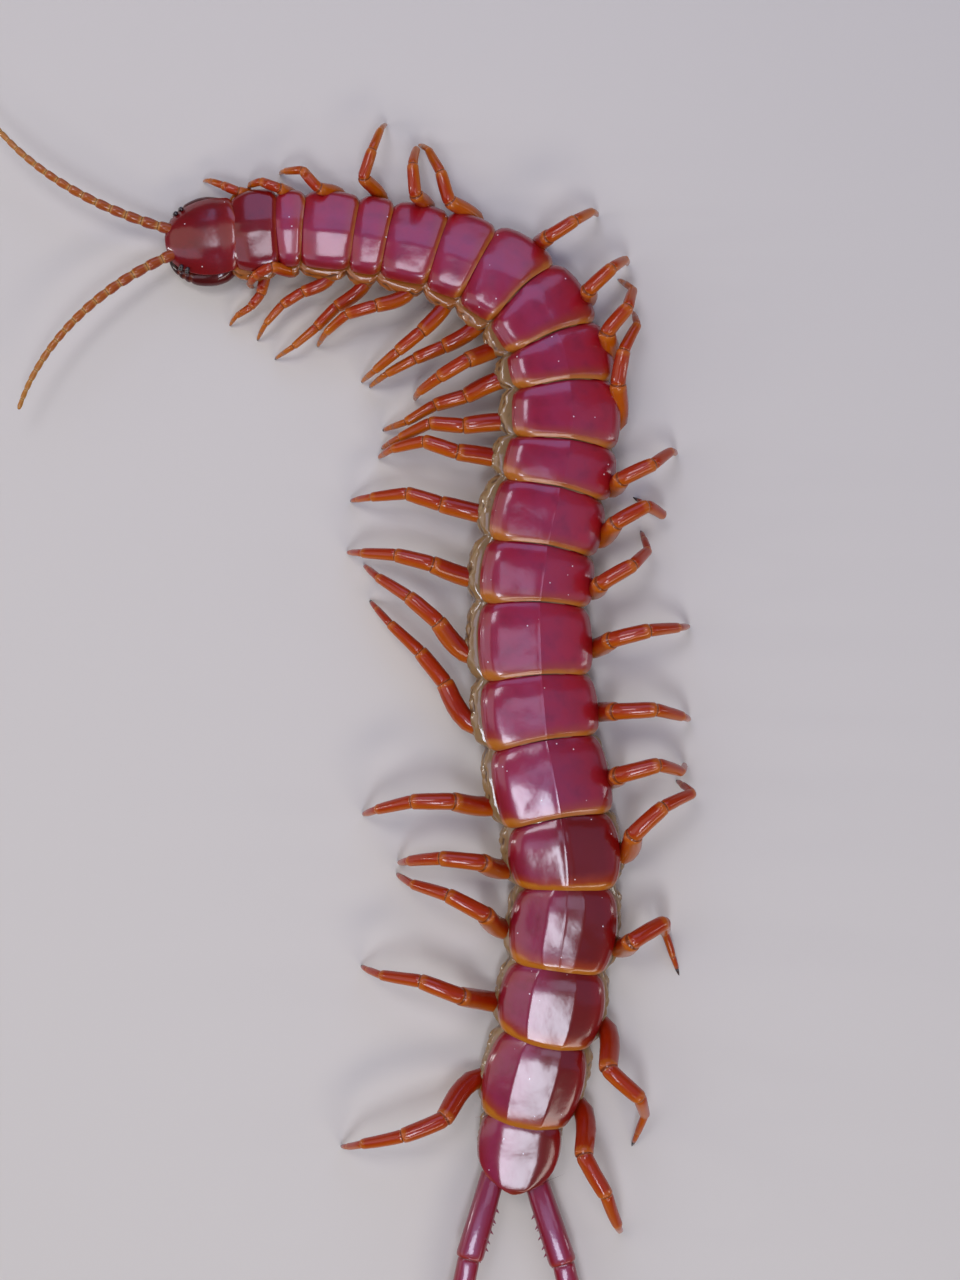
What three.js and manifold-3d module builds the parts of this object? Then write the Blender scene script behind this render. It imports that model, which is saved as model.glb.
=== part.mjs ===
// Giant centipede, Scolopendra gigantea: an adult of 26 cm in head and trunk, as a still life-size model.
// Millimetres, +Z up. The animal stands on the floor at z = 0 and its trunk bends like a question mark:
// the head is at the +Y end and faces -X, the last pair of legs trails at the -Y end.
import * as THREE from 'three';
import { mergeVertices } from 'three/addons/utils/BufferGeometryUtils.js';
import Module from 'manifold-3d';

const wasm = await Module();
wasm.setup();

// Clear space between neighbouring pieces, and between the belly and the floor.
const GAP = 0.3;
const CUTTER_GAP = 0.36;
const WIDE_GAP = 0.5;
const BELLY_CLEARANCE = 1.0;
// Where the last back plate ends, seen from above.
const TAIL_POINT = [35.1, -82.0];
// The trunk is flattened: its height is this share of its width.
const FLATNESS = 0.46;
// Where a leg grows out of the flank: share of the segment from its front, of the half width and of the height.
const ROOT_ALONG = 0.7;
const ROOT_OUT = 0.8;
const ROOT_UP = -0.26;

// One row for each leg-bearing segment, head end first:
// length, heading towards the head in degrees, width of the back plate, roll to the animal's right in degrees.
const SEGMENTS = [
  [9.2, 185, 17.2, 8],
  [5.2, 182, 16.4, 10],
  [10.4, 174.5, 17.0, 12],
  [6.7, 170, 17.2, 14],
  [10.4, 168, 17.8, 16],
  [8.7, 160, 18.8, 16],
  [10.6, 148, 20.6, 16],
  [10.8, 124, 21.5, 16],
  [9.7, 104, 22.3, 16],
  [11.6, 91, 23.0, 16],
  [9.6, 78, 23.6, 16],
  [11.9, 77.5, 23.8, 16],
  [11.5, 83, 24.0, 16],
  [14.6, 91.5, 23.9, 14],
  [13.1, 96, 24.2, 12],
  [15.9, 101.5, 23.8, 9],
  [13.9, 97.5, 22.9, 4],
  [16.3, 83.5, 21.8, 0],
  [14.6, 80, 21.6, 0],
  [16.9, 75.5, 20.4, 0],
  [13.8, 81.5, 16.8, 0],
].map(([length, heading, width, roll]) => ({ length, heading, width, roll }));
const LAST = SEGMENTS.length - 1;
const SEGMENTS_PER_NODE = 3;

// Along a segment: share of the length, width of the plate, height of the plate's face, width of the body below.
const PLATE_STATIONS = [
  [0, 0.83, -0.6, 0.88],
  [0.2, 0.96, -0.15, 0.97],
  [0.6, 1, 0, 1.04],
  [0.88, 0.95, 0, 0.97],
  [1, 0.84, -0.12, 0.88],
];
const FIRST_PLATE_STATIONS = [
  [0, 0.6, -0.5, 0.58],
  [0.15, 0.86, -0.1, 0.84],
  [0.5, 1, 0, 1],
  [0.88, 0.97, 0, 0.96],
  [1, 0.88, -0.12, 0.88],
];
const LAST_PLATE_STATIONS = [
  [0, 0.92, -0.6, 0.88],
  [0.25, 1, -0.1, 1],
  [0.65, 0.95, 0, 0.98],
  [0.86, 0.78, -0.1, 0.84],
  [1, 0.45, -0.4, 0.52],
];
// Half of a cross-section, from the ridge down to the belly: share of the half width, share of the height.
const PLATE_PROFILE = [
  [0, 0.5],
  [0.34, 0.5],
  [0.72, 0.4],
  [0.95, 0.2],
  [1, 0.14],
  [0.97, 0.08],
  [0.88, 0.06],
];
// The same stretch of a cutter, which fills the hollow under the plate's rim.
const CUTTER_RIM = [
  [1, 0.04],
  [0.99, 0],
];
// A cutter also fills the waist between two plates by this share of the half width.
const CUTTER_WAIST = 0.04;
const BODY_PROFILE = [
  [1, -0.1],
  [0.9, -0.3],
  [0.62, -0.45],
  [0.55, -0.5],
  [0, -0.5],
];
// On the raised side the soft flank stands out further from under the plates.
const RAISED_FLANK = 0.1;
const FULL_ROLL = 16;

const { degToRad, lerp } = THREE.MathUtils;
const UP = new THREE.Vector3(0, 0, 1);

// Unit vector on the floor plan.
function planVector(degrees) {
  return new THREE.Vector3(Math.cos(degToRad(degrees)), Math.sin(degToRad(degrees)), 0);
}

// Joints between the segments: the front of segment i is joint i, and the tail is the last joint.
const joints = [new THREE.Vector3(...TAIL_POINT, 0)];
for (let i = LAST; i >= 0; i -= 1) {
  const { length, heading } = SEGMENTS[i];
  joints.unshift(joints[0].clone().addScaledVector(planVector(heading), length));
}

// A value of the segments at joint i is the mean of its two neighbours.
function atJoint(key, i) {
  const before = SEGMENTS[Math.max(i - 1, 0)][key];
  const after = SEGMENTS[Math.min(i, LAST)][key];
  return (before + after) / 2;
}

function along(key, i, t) {
  const own = SEGMENTS[i][key];
  return t < 0.5 ? lerp(atJoint(key, i), own, 2 * t) : lerp(own, atJoint(key, i + 1), 2 * t - 1);
}

// Frame of the body at share t of segment i, from front to rear.
function station(i, t) {
  const { length } = SEGMENTS[i];
  const front = joints[i];
  const rear = joints[i + 1];
  const axis = new THREE.CubicBezierCurve3(
    front,
    front.clone().addScaledVector(planVector(atJoint('heading', i)), -length / 3),
    rear.clone().addScaledVector(planVector(atJoint('heading', i + 1)), length / 3),
    rear,
  );
  const forward = axis.getTangent(t).negate();
  const roll = degToRad(along('roll', i, t));
  const halfWidth = along('width', i, t) / 2;
  const height = FLATNESS * 2 * halfWidth;
  const left = new THREE.Vector3().crossVectors(UP, forward);
  const origin = axis.getPoint(t);
  const lowest = BODY_PROFILE[2][0] * halfWidth * Math.sin(roll) + (height / 2) * Math.cos(roll);
  origin.z = BELLY_CLEARANCE + lowest;
  return {
    origin,
    forward,
    left: left.clone().multiplyScalar(Math.cos(roll)).addScaledVector(UP, Math.sin(roll)),
    up: UP.clone().multiplyScalar(Math.cos(roll)).addScaledVector(left, -Math.sin(roll)),
    halfWidth,
    height,
    roll: along('roll', i, t),
  };
}

// Point of the body: u to the animal's left, w up, f forward.
function onBody(frame, u, w, f = 0) {
  return frame.origin.clone()
    .addScaledVector(frame.left, u)
    .addScaledVector(frame.up, w)
    .addScaledVector(frame.forward, f);
}

// A closed solid through rings of equal count. The end caps are cut from the rings' own outlines.
function loft(rings, flatten) {
  const count = rings[0].length;
  const positions = rings.flat().flatMap((p) => [p.x, p.y, p.z]);
  const index = [];
  for (let r = 0; r + 1 < rings.length; r += 1) {
    for (let k = 0; k < count; k += 1) {
      const a = r * count + k;
      const b = r * count + ((k + 1) % count);
      index.push(a, b, b + count, a, b + count, a + count);
    }
  }
  const outline = flatten ?? rings[0].map((p, k) => {
    const angle = (2 * Math.PI * k) / count;
    return new THREE.Vector2(Math.cos(angle), Math.sin(angle));
  });
  const last = (rings.length - 1) * count;
  const turned = THREE.ShapeUtils.isClockWise(outline);
  for (const face of THREE.ShapeUtils.triangulateShape(outline, [])) {
    const [a, b, c] = turned ? face.reverse() : face;
    index.push(c, b, a, last + a, last + b, last + c);
  }
  const geometry = new THREE.BufferGeometry();
  geometry.setAttribute('position', new THREE.Float32BufferAttribute(positions, 3));
  geometry.setIndex(index);
  return geometry;
}

function asSolid(geometry) {
  const bare = geometry.clone();
  bare.deleteAttribute('normal');
  bare.deleteAttribute('uv');
  const merged = mergeVertices(bare, 1e-4);
  const make = (triVerts) => new wasm.Manifold(new wasm.Mesh({
    numProp: 3,
    vertProperties: merged.attributes.position.array,
    triVerts,
  }));
  const made = make(new Uint32Array(merged.index.array));
  // A loft that runs the other way round comes out inside out, and its faces are turned.
  return made.volume() > 0 ? made : make(new Uint32Array(merged.index.array).reverse());
}

// The largest closed surface of a solid.
function largest(solid) {
  return solid.decompose().reduce((best, part) => (part.volume() > best.volume() ? part : best));
}

function asGeometry(solid) {
  const { vertProperties, triVerts } = solid.getMesh();
  const geometry = new THREE.BufferGeometry();
  geometry.setAttribute('position', new THREE.BufferAttribute(vertProperties, 3));
  geometry.setIndex(new THREE.BufferAttribute(triVerts, 1));
  return geometry;
}

const group = new THREE.Group();
const materials = {
  backPlate: new THREE.MeshStandardMaterial({ color: '#6b1418', roughness: 0.25, metalness: 0 }),
  head: new THREE.MeshStandardMaterial({ color: '#7a0f0a', roughness: 0.25, metalness: 0 }),
  leg: new THREE.MeshStandardMaterial({ color: '#b5420f', roughness: 0.35, metalness: 0 }),
  lastLeg: new THREE.MeshStandardMaterial({ color: '#6e1a26', roughness: 0.3, metalness: 0 }),
  antenna: new THREE.MeshStandardMaterial({ color: '#a8641c', roughness: 0.5, metalness: 0 }),
  forcipule: new THREE.MeshStandardMaterial({ color: '#4a0b0c', roughness: 0.25, metalness: 0 }),
};

function addNode(name, solid, material) {
  const mesh = new THREE.Mesh(asGeometry(largest(solid)), material);
  mesh.name = name;
  group.add(mesh);
}

// Trunk

function stationsOf(i) {
  if (i === 0) return FIRST_PLATE_STATIONS;
  return i === LAST ? LAST_PLATE_STATIONS : PLATE_STATIONS;
}

// Half of the outline on one side of the body, as [u, w] pairs from the ridge to the belly.
function halfOutline(frame, i, row, side, grow) {
  const [t, plate, lift, body] = row;
  const raised = side > 0 ? RAISED_FLANK * (frame.roll / FULL_ROLL) * Math.sin(Math.PI * t) : 0;
  const waist = grow && (t === 0 || t === 1) ? CUTTER_WAIST : 0;
  const plateHalf = (plate + waist) * (SEGMENTS[i].width / 2) + grow;
  const bodyHalf = (body + raised + waist) * frame.halfWidth + grow;
  const height = frame.height + 2 * grow;
  const plateProfile = grow ? [...PLATE_PROFILE.slice(0, -CUTTER_RIM.length), ...CUTTER_RIM] : PLATE_PROFILE;
  return [
    ...plateProfile.map(([u, w]) => [side * u * plateHalf, w * height + lift]),
    ...BODY_PROFILE.map(([u, w]) => [side * u * bodyHalf, w * height]),
  ];
}

// Segments first to last as one solid. With grow it becomes the cutter that keeps other pieces clear.
function trunkLength(first, end, grow = 0) {
  const rings = [];
  let outline;
  for (let i = first; i <= end; i += 1) {
    for (const row of stationsOf(i)) {
      const frame = station(i, row[0]);
      const left = halfOutline(frame, i, row, 1, grow);
      const right = halfOutline(frame, i, row, -1, grow).slice(1, -1).reverse();
      const points = [...left, ...right];
      let shift = 0;
      if (row[0] === 0) shift = i === first && grow ? grow : -GAP / 2;
      if (row[0] === 1) shift = i === end && grow ? -grow : GAP / 2;
      outline ??= points.map(([u, w]) => new THREE.Vector2(u, w));
      rings.push(points.map(([u, w]) => onBody(frame, u, w, shift)));
    }
  }
  return asSolid(loft(rings, outline));
}

const trunkNodes = Math.ceil(SEGMENTS.length / SEGMENTS_PER_NODE);
for (let n = 0; n < trunkNodes; n += 1) {
  const first = n * SEGMENTS_PER_NODE;
  const end = Math.min(first + SEGMENTS_PER_NODE - 1, LAST);
  addNode(`trunk_${n + 1}`, trunkLength(first, end), materials.backPlate);
}

// Legs

// Share of a leg's length: upper thigh, thigh, shin, two foot joints and claw.
const LEG_SHARES = [0.325, 0.205, 0.21, 0.145, 0.085, 0.03];
// Along each of these: share of its length and of the leg's thickness.
const LEG_RINGS = [
  [[0, 0.95], [0.6, 1]],
  [[0, 0.78], [0.25, 0.86], [0.88, 0.72]],
  [[0, 0.62], [0.25, 0.66], [0.9, 0.47]],
  [[0, 0.38], [0.5, 0.34]],
  [[0, 0.24]],
  [[0, 0.14]],
];
const LEG_SIDES = 6;
const CLAW_TIP = 0.2;
// The claws end this far below the floor's level and are cut level with it, which leaves a small flat.
const TOE_SINK = 0.2;
// Whole length and greatest radius of a leg, by the number of its segment.
const LEG_LENGTHS = [[1, 16.5], [2, 19], [3, 24], [4, 28.5], [9, 32], [12, 35], [15, 39], [20, 43]];
const LEG_RADII = [[1, 1.15], [3, 1.3], [5, 1.5], [9, 1.8], [12, 1.85], [16, 2.0], [20, 2.0]];
// Rise of each part of a leg that is stretched out, and of one that is arched up, in degrees.
const STRETCHED = [12, 0, -8, -48, -60, -70];
const ARCHED = [68, 5, -50, -78, -84, -88];
// The two foot joints and the claw make up the foot.
const FOOT = [0, 0, 0, 1, 1, 1];
// Rise of a foot that lies along the floor, in degrees.
const FLAT_FOOT = -8;

// One row for each leg, first to twentieth, with angles in degrees:
// bearing of the claw from the root, forward of straight out, and its distance on the floor plan,
// how much further forward the thigh, the shin and the foot head than the upper thigh,
// and how nearly the foot lies flat, left out where it stands as steeply as the arch puts it.
const LEFT_LEGS = [
  [40, 13.5, 30, 50, 40],
  [68, 9.5, -12, -20, -20],
  [42, 21.1, 7, -9, -12],
  [39, 25.6, 0, 5, 22],
  [46, 22.9, 20, -2, -4],
  [26, 24.4, 14, 16, 27],
  [26, 26.8, 14, 9, 9],
  [0, 20.7, -2, -2, -2],
  [-10, 28.6, 5, -10, 8],
  [-11, 27.8, 10, -20, -16],
  [-11, 26.6, 10, -20, -29],
  [-5, 29.9, 4, -19, -17],
  [6, 28.8, -2, -12, -9],
  [40, 30.8, 4, -4, 4],
  [53, 35.5, 7, -1, 3],
  [7, 29.3, -6, -21, -33],
  [8, 24.7, -10, -27, -46],
  [16, 27.4, -8, -24, -21],
  [3, 30.8, 2, -16, -16],
  [-40, 34.1, 12, 17, 3],
];
const RIGHT_LEGS = [
  [62, 13, 0, 0, 0],
  [70, 9.5, 17, 37, 50],
  [68, 14.6, -22, 20, 0],
  [8, 18.5, -50, -50, -50],
  [21, 15, -28, -42, -30],
  [54, 22, -30, -20, -7],
  [-23, 16.8, 0, 6, -7],
  [11, 14.2, 2, 0, -15],
  [66, 18.7, -26, -3, 52, 0.3],
  [77, 24.9, 8, -10, 24],
  [36, 18, 18, 30, 0],
  [52, 13.5, 5, -46, 120, 0.6],
  [48, 18.3, 18, 30, 88, 0.3],
  [9, 23.9, -4, -13, -12],
  [-10, 22.1, -6, -24, -32],
  [-1, 18.7, -16, -50, 0],
  [41, 21, -10, -34, 88],
  [-14, 16.9, -2, 78, -98, 0.9],
  [-61, 28, 26, -4, -36, 0.6],
  [-53, 29.7, 12, 1, -1],
];

function fromTable(table, x) {
  const k = Math.max(table.findIndex(([at]) => at >= x), 1);
  const [[x0, y0], [x1, y1]] = [table[k - 1], table[k]];
  return lerp(y0, y1, (x - x0) / (x1 - x0));
}

// The value between low and high at which a falling measure meets zero.
function solve(measure, low, high) {
  let [a, b] = [low, high];
  for (let step = 0; step < 40; step += 1) {
    const middle = (a + b) / 2;
    if (measure(middle) > 0) a = middle;
    else b = middle;
  }
  return (a + b) / 2;
}

// Points of a chain of links: each has a length, a turn on the floor plan and a rise, in degrees.
function chain(start, links) {
  const points = [start.clone()];
  for (const { length, turn, rise } of links) {
    const step = planVector(turn).multiplyScalar(Math.cos(degToRad(rise)));
    step.z = Math.sin(degToRad(rise));
    points.push(points.at(-1).clone().addScaledVector(step, length));
  }
  return points;
}

// A leg from its root to a claw on the floor: it arches as much as it must to stand at this distance.
function legLinks(root, lengths, turns, distance, flat) {
  const links = (arch, tilt) => lengths.map((length, k) => {
    const rise = lerp(STRETCHED[k], ARCHED[k], arch) - tilt;
    return { length, turn: turns[k], rise: lerp(rise, FLAT_FOOT, FOOT[k] * flat) };
  });
  const tiltFor = (arch) => solve((tilt) => chain(root, links(arch, tilt)).at(-1).z + TOE_SINK, -60, 90);
  const planReach = (arch) => {
    const toe = chain(root, links(arch, tiltFor(arch))).at(-1);
    return Math.hypot(toe.x - root.x, toe.y - root.y);
  };
  const arch = solve((value) => planReach(value) - distance, -0.4, 1.6);
  return links(arch, tiltFor(arch));
}

// Rings of a jointed limb. Each link carries its own [share, radius] pairs,
// and the rings at a joint halve its angle.
function limbRings(start, links, sides, tipRadius) {
  const points = chain(start, links);
  const directions = links.map((link, k) => points[k + 1].clone().sub(points[k]).normalize());
  const ring = (centre, direction, turn, radius) => {
    const side = new THREE.Vector3(-Math.sin(degToRad(turn)), Math.cos(degToRad(turn)), 0);
    const top = new THREE.Vector3().crossVectors(direction, side).normalize();
    return Array.from({ length: sides }, (_, k) => {
      const angle = (2 * Math.PI * (k + 0.5)) / sides;
      return centre.clone()
        .addScaledVector(side, radius * Math.cos(angle))
        .addScaledVector(top, radius * Math.sin(angle));
    });
  };
  const rings = [];
  links.forEach((link, k) => {
    const before = directions[Math.max(k - 1, 0)];
    const turnBefore = links[Math.max(k - 1, 0)].turn;
    for (const [share, radius] of link.rings) {
      const centre = points[k].clone().lerp(points[k + 1], share);
      const joint = share === 0;
      const direction = joint ? before.clone().add(directions[k]).normalize() : directions[k];
      rings.push(ring(centre, direction, joint ? (turnBefore + link.turn) / 2 : link.turn, radius));
    }
  });
  rings.push(ring(points.at(-1), directions.at(-1), links.at(-1).turn, tipRadius));
  return rings;
}

const FLOOR_SIZE = 500;
const floor = asSolid(new THREE.BoxGeometry(FLOOR_SIZE, FLOOR_SIZE, FLOOR_SIZE)
  .translate(0, 0, -FLOOR_SIZE / 2));

// The trunk round segment i, grown by the gap, cuts the root of a limb to sit face to face on the flank.
function cutterAround(i) {
  return trunkLength(Math.max(i - 1, 0), Math.min(i + 1, LAST), CUTTER_GAP);
}

function walkingLeg(i, side, [bearing, distance, thigh, shin, foot, flat = 0], cutter) {
  const frame = station(i, ROOT_ALONG);
  const root = onBody(frame, side * ROOT_OUT * frame.halfWidth, ROOT_UP * frame.height);
  const ahead = THREE.MathUtils.radToDeg(Math.atan2(frame.forward.y, frame.forward.x));
  const toTurn = (forwardOfOut) => ahead + side * (90 - forwardOfOut);
  const size = fromTable(LEG_LENGTHS, i + 1);
  const lengths = LEG_SHARES.map((share) => share * size);
  const bent = [0, thigh, shin, foot, foot, foot].map(toTurn);
  const links = legLinks(root, lengths, bent, distance, flat);
  const toe = chain(root, links).at(-1);
  const off = toTurn(bearing) - THREE.MathUtils.radToDeg(Math.atan2(toe.y - root.y, toe.x - root.x));
  const radius = fromTable(LEG_RADII, i + 1);
  links.forEach((link, k) => {
    link.turn += off;
    link.rings = LEG_RINGS[k].map(([share, thickness]) => [share, thickness * radius]);
  });
  return asSolid(loft(limbRings(root, links, LEG_SIDES, CLAW_TIP))).subtract(cutter).subtract(floor);
}

for (let i = 0; i < LAST; i += 1) {
  const cutter = cutterAround(i);
  const number = String(i + 1).padStart(2, '0');
  addNode(`leg_left_${number}`, walkingLeg(i, 1, LEFT_LEGS[i], cutter), materials.leg);
  addNode(`leg_right_${number}`, walkingLeg(i, -1, RIGHT_LEGS[i], cutter), materials.leg);
}

// Last pair of legs, which trails behind the trunk

const LAST_LEG_LENGTHS = [17.4, 13.8, 10.8, 7.4, 4.9, 1.8];
const LAST_LEG_RISE = [10, 2, -8, -13, -16, -30];
const LAST_LEG_INWARD = [0, 4, 8, 12, 15, 18];
// Outward of straight back, left and right.
const LAST_LEG_SPREAD = [8, 27];
const LAST_LEG_RADIUS = 2.7;
const LAST_LEG_ROOT = { along: 0.9, out: 4.3, up: -0.02 };
const LAST_LEG_RINGS = [
  [[0, 0.85], [0.12, 0.95], [0.45, 1.02], [0.88, 1]],
  [[0, 0.8], [0.2, 0.88], [0.85, 0.82]],
  [[0, 0.66], [0.2, 0.74], [0.88, 0.66]],
  [[0, 0.54], [0.3, 0.58], [0.88, 0.5]],
  [[0, 0.4], [0.4, 0.42]],
  [[0, 0.24]],
];
const LAST_LEG_SIDES = 8;
// Spines of the upper thigh: share of its length, and height on its inner face.
const THIGH_SPINES = [[0.28, 0.5], [0.46, 0.75], [0.62, 0.2], [0.78, 0.6], [0.9, -0.1]];
const SPINE_RADIUS = 0.42;
const SPINE_LENGTH = 1.5;
const SPINE_SIDES = 5;
// The corner process at the far inner end of the upper thigh.
const PROCESS_RADIUS = 0.85;
const PROCESS_LENGTH = 2.4;

// A spine whose root is sunk in what carries it.
function spine(root, direction, radius, length) {
  const cone = new THREE.ConeGeometry(radius, length, SPINE_SIDES).translate(0, length / 2 - 0.35 * length, 0);
  const turn = new THREE.Quaternion().setFromUnitVectors(new THREE.Vector3(0, 1, 0), direction);
  return asSolid(cone.applyQuaternion(turn).translate(root.x, root.y, root.z));
}

function lastLeg(side, cutter) {
  const frame = station(LAST, LAST_LEG_ROOT.along);
  const root = onBody(frame, side * LAST_LEG_ROOT.out, LAST_LEG_ROOT.up * frame.height);
  const back = SEGMENTS[LAST].heading + 180;
  const spread = LAST_LEG_SPREAD[side > 0 ? 0 : 1];
  const links = (tilt) => LAST_LEG_LENGTHS.map((length, k) => ({
    length,
    turn: back - side * (spread - LAST_LEG_INWARD[k]),
    rise: LAST_LEG_RISE[k] - tilt,
    rings: LAST_LEG_RINGS[k].map(([share, thickness]) => [share, thickness * LAST_LEG_RADIUS]),
  }));
  const tilt = solve((value) => chain(root, links(value)).at(-1).z + TOE_SINK, -30, 30);
  const rings = limbRings(root, links(tilt), LAST_LEG_SIDES, CLAW_TIP);
  let solid = asSolid(loft(rings));
  const [start, end] = chain(root, links(tilt));
  const along = end.clone().sub(start).normalize();
  const inward = new THREE.Vector3().crossVectors(UP, along).multiplyScalar(side).normalize();
  for (const [share, height] of THIGH_SPINES) {
    const out = inward.clone().addScaledVector(UP, height).normalize();
    const foot = start.clone().lerp(end, share).addScaledVector(out, 0.88 * LAST_LEG_RADIUS);
    solid = solid.add(spine(foot, out.addScaledVector(along, 0.5).normalize(), SPINE_RADIUS, SPINE_LENGTH));
  }
  const corner = start.clone().lerp(end, 0.93).addScaledVector(inward, 0.62 * LAST_LEG_RADIUS);
  corner.addScaledVector(UP, 0.3 * LAST_LEG_RADIUS);
  const process = along.clone().addScaledVector(inward, 0.7).addScaledVector(UP, 0.25).normalize();
  solid = solid.add(spine(corner, process, PROCESS_RADIUS, PROCESS_LENGTH));
  return solid.subtract(cutter).subtract(floor);
}

addNode('ultimate_leg_left', lastLeg(1, cutterAround(LAST)), materials.lastLeg);
addNode('ultimate_leg_right', lastLeg(-1, cutterAround(LAST)), materials.lastLeg);

// Head and mouthparts, in the head's own frame: f forward of the first back plate, u to the left, w up

const HEAD_HEADING = 187;
const HEAD_ROLL = 5;
const HEAD_NOD = 3;

const headFrame = (() => {
  const forward = planVector(HEAD_HEADING)
    .multiplyScalar(Math.cos(degToRad(HEAD_NOD)))
    .addScaledVector(UP, -Math.sin(degToRad(HEAD_NOD)));
  const level = new THREE.Vector3().crossVectors(UP, forward).normalize();
  const left = level.clone().applyAxisAngle(forward, degToRad(HEAD_ROLL));
  const up = new THREE.Vector3().crossVectors(forward, left);
  return { origin: station(0, 0).origin, forward, left, up };
})();

const onHead = (f, u, w) => onBody(headFrame, u, w, f);

// A flattened shell: each station is [f, half width, top, bottom], and the profile goes from ridge to underside.
const SHELL_PROFILE = [[0, 1], [0.45, 0.94], [0.8, 0.74], [1, 0.42], [0.92, 0.2], [0.6, 0], [0, 0]];

function shell(stations, grow = 0) {
  const last = stations.length - 1;
  const rings = stations.map(([f, half, top, bottom], k) => {
    const ends = (k === 0 ? -grow : 0) + (k === last ? grow : 0);
    const point = (side) => ([u, share]) => (
      onHead(f + ends, side * u * (half + grow), lerp(bottom - grow, top + grow, share))
    );
    return [...SHELL_PROFILE.map(point(1)), ...SHELL_PROFILE.slice(1, -1).reverse().map(point(-1))];
  });
  return asSolid(loft(rings));
}

// A horn or feeler through points [f, u, w, radius], mirrored by side, with a flattened round section.
function horn(points, side, steps, sides, flatness, grow = 0) {
  const curve = new THREE.CatmullRomCurve3(points.map(([f, u, w]) => onHead(f, side * u, w)));
  const rings = Array.from({ length: steps + 1 }, (_, k) => {
    const t = k / steps;
    const at = t * (points.length - 1);
    const n = Math.min(Math.floor(at), points.length - 2);
    const radius = lerp(points[n][3], points[n + 1][3], at - n) + grow;
    const centre = curve.getPoint(t);
    const tangent = curve.getTangent(t);
    const across = new THREE.Vector3().crossVectors(headFrame.up, tangent).normalize();
    const top = new THREE.Vector3().crossVectors(tangent, across).normalize();
    return Array.from({ length: sides }, (__, m) => {
      const angle = (2 * Math.PI * (m + 0.5)) / sides;
      return centre.clone()
        .addScaledVector(across, radius * Math.cos(angle))
        .addScaledVector(top, flatness * radius * Math.sin(angle));
    });
  });
  return asSolid(loft(rings));
}

const HEAD_STATIONS = [
  [-2.2, 7.0, 2.6, -1.2],
  [0, 7.4, 2.9, -1.4],
  [3.5, 7.8, 3.1, -1.5],
  [7, 7.4, 3.0, -1.5],
  [10, 6.1, 2.5, -1.4],
  [12, 4.4, 1.8, -1.1],
  [13.2, 2.6, 1.0, -0.6],
];
// Four simple eyes on each side of the head, behind the root of the feeler: [f, u, w].
const EYES = [[9.1, 6.3, 1.2], [10.3, 5.5, 1.2], [9.4, 6.5, 0.4], [10.6, 5.7, 0.4]];
const EYE_RADIUS = 0.5;
const MOUTH_STATIONS = [
  [5, 2.8, -1.85, -2.7],
  [8, 3.0, -1.85, -2.8],
  [10, 2.4, -1.7, -2.6],
  [10.8, 1.4, -1.6, -2.3],
];
const PALP = [[8.4, 2.6, -2.3, 0.55], [9.8, 3.1, -2.3, 0.5], [11, 2.7, -2.3, 0.42], [11.6, 2.1, -2.3, 0.3]];
const BASE_STATIONS = [
  [0.35, 6.0, -1.8, -4.2],
  [2.5, 6.2, -1.8, -4.3],
  [4.2, 5.6, -1.8, -4.2],
  [4.8, 5.4, -3.1, -4.2],
  [8.4, 3.4, -3.1, -4],
];
// Tooth plates at the front edge of the base: place of each tooth off the middle.
const TEETH = [0.6, 1.3, 2.0, 2.7];
const TOOTH_RADIUS = 0.42;
const TOOTH_LENGTH = 1.3;
const FORCIPULE = [
  [0.6, 5.0, -2.4, 2.2],
  [2.9, 6.6, -2.4, 2.35],
  [5.8, 7.1, -2.4, 2.1],
  [8.8, 6.5, -2.5, 1.7],
  [11.2, 5.0, -2.7, 1.25],
  [12.6, 3.0, -2.9, 0.85],
  [12.9, 1.0, -3.0, 0.32],
];
const FORCIPULE_FLATNESS = 0.85;

const firstCutter = trunkLength(0, 1, CUTTER_GAP);
const headCutter = shell(HEAD_STATIONS, CUTTER_GAP);
let head = shell(HEAD_STATIONS).subtract(firstCutter);
for (const side of [1, -1]) {
  for (const [f, u, w] of EYES) {
    const place = onHead(f, side * u, w);
    const eye = new THREE.SphereGeometry(EYE_RADIUS, 6, 4).translate(place.x, place.y, place.z);
    head = head.add(asSolid(eye));
  }
}
addNode('head', head, materials.head);

const palps = [1, -1].map((side) => horn(PALP, side, 4, 6, 1));
const mouthparts = palps.reduce((all, palp) => all.add(palp), shell(MOUTH_STATIONS)).subtract(headCutter);
addNode('mouthparts', mouthparts, materials.antenna);

const mouthCutter = shell(MOUTH_STATIONS, WIDE_GAP);
let base = shell(BASE_STATIONS);
for (const side of [1, -1]) {
  for (const u of TEETH) {
    base = base.add(spine(onHead(8.4, side * u, -3.2), headFrame.forward, TOOTH_RADIUS, TOOTH_LENGTH));
  }
}
base = base.subtract(headCutter).subtract(mouthCutter).subtract(firstCutter);
addNode('forcipule_base', base, materials.forcipule);

const baseCutter = shell(BASE_STATIONS, WIDE_GAP);
for (const [side, name] of [[1, 'left'], [-1, 'right']]) {
  const fang = horn(FORCIPULE, side, 12, 8, FORCIPULE_FLATNESS);
  const clear = fang.subtract(headCutter).subtract(baseCutter).subtract(firstCutter);
  addNode(`forcipule_${name}`, clear, materials.forcipule);
}

// Feelers of seventeen joints

const FEELER_JOINTS = 17;
const FEELER_LENGTH = 46;
const FEELER_RADII = [1.15, 0.45];
const FEELER_ROOT = [11, 2.3, 0.5];
// Turn outward from the head's heading and rise, at the root and at the tip, in degrees.
const FEELER_TURN = [20, 62];
const FEELER_RISE = [14, -6];
// The joints grow shorter towards the tip.
const FEELER_TAPER = 0.55;

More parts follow.
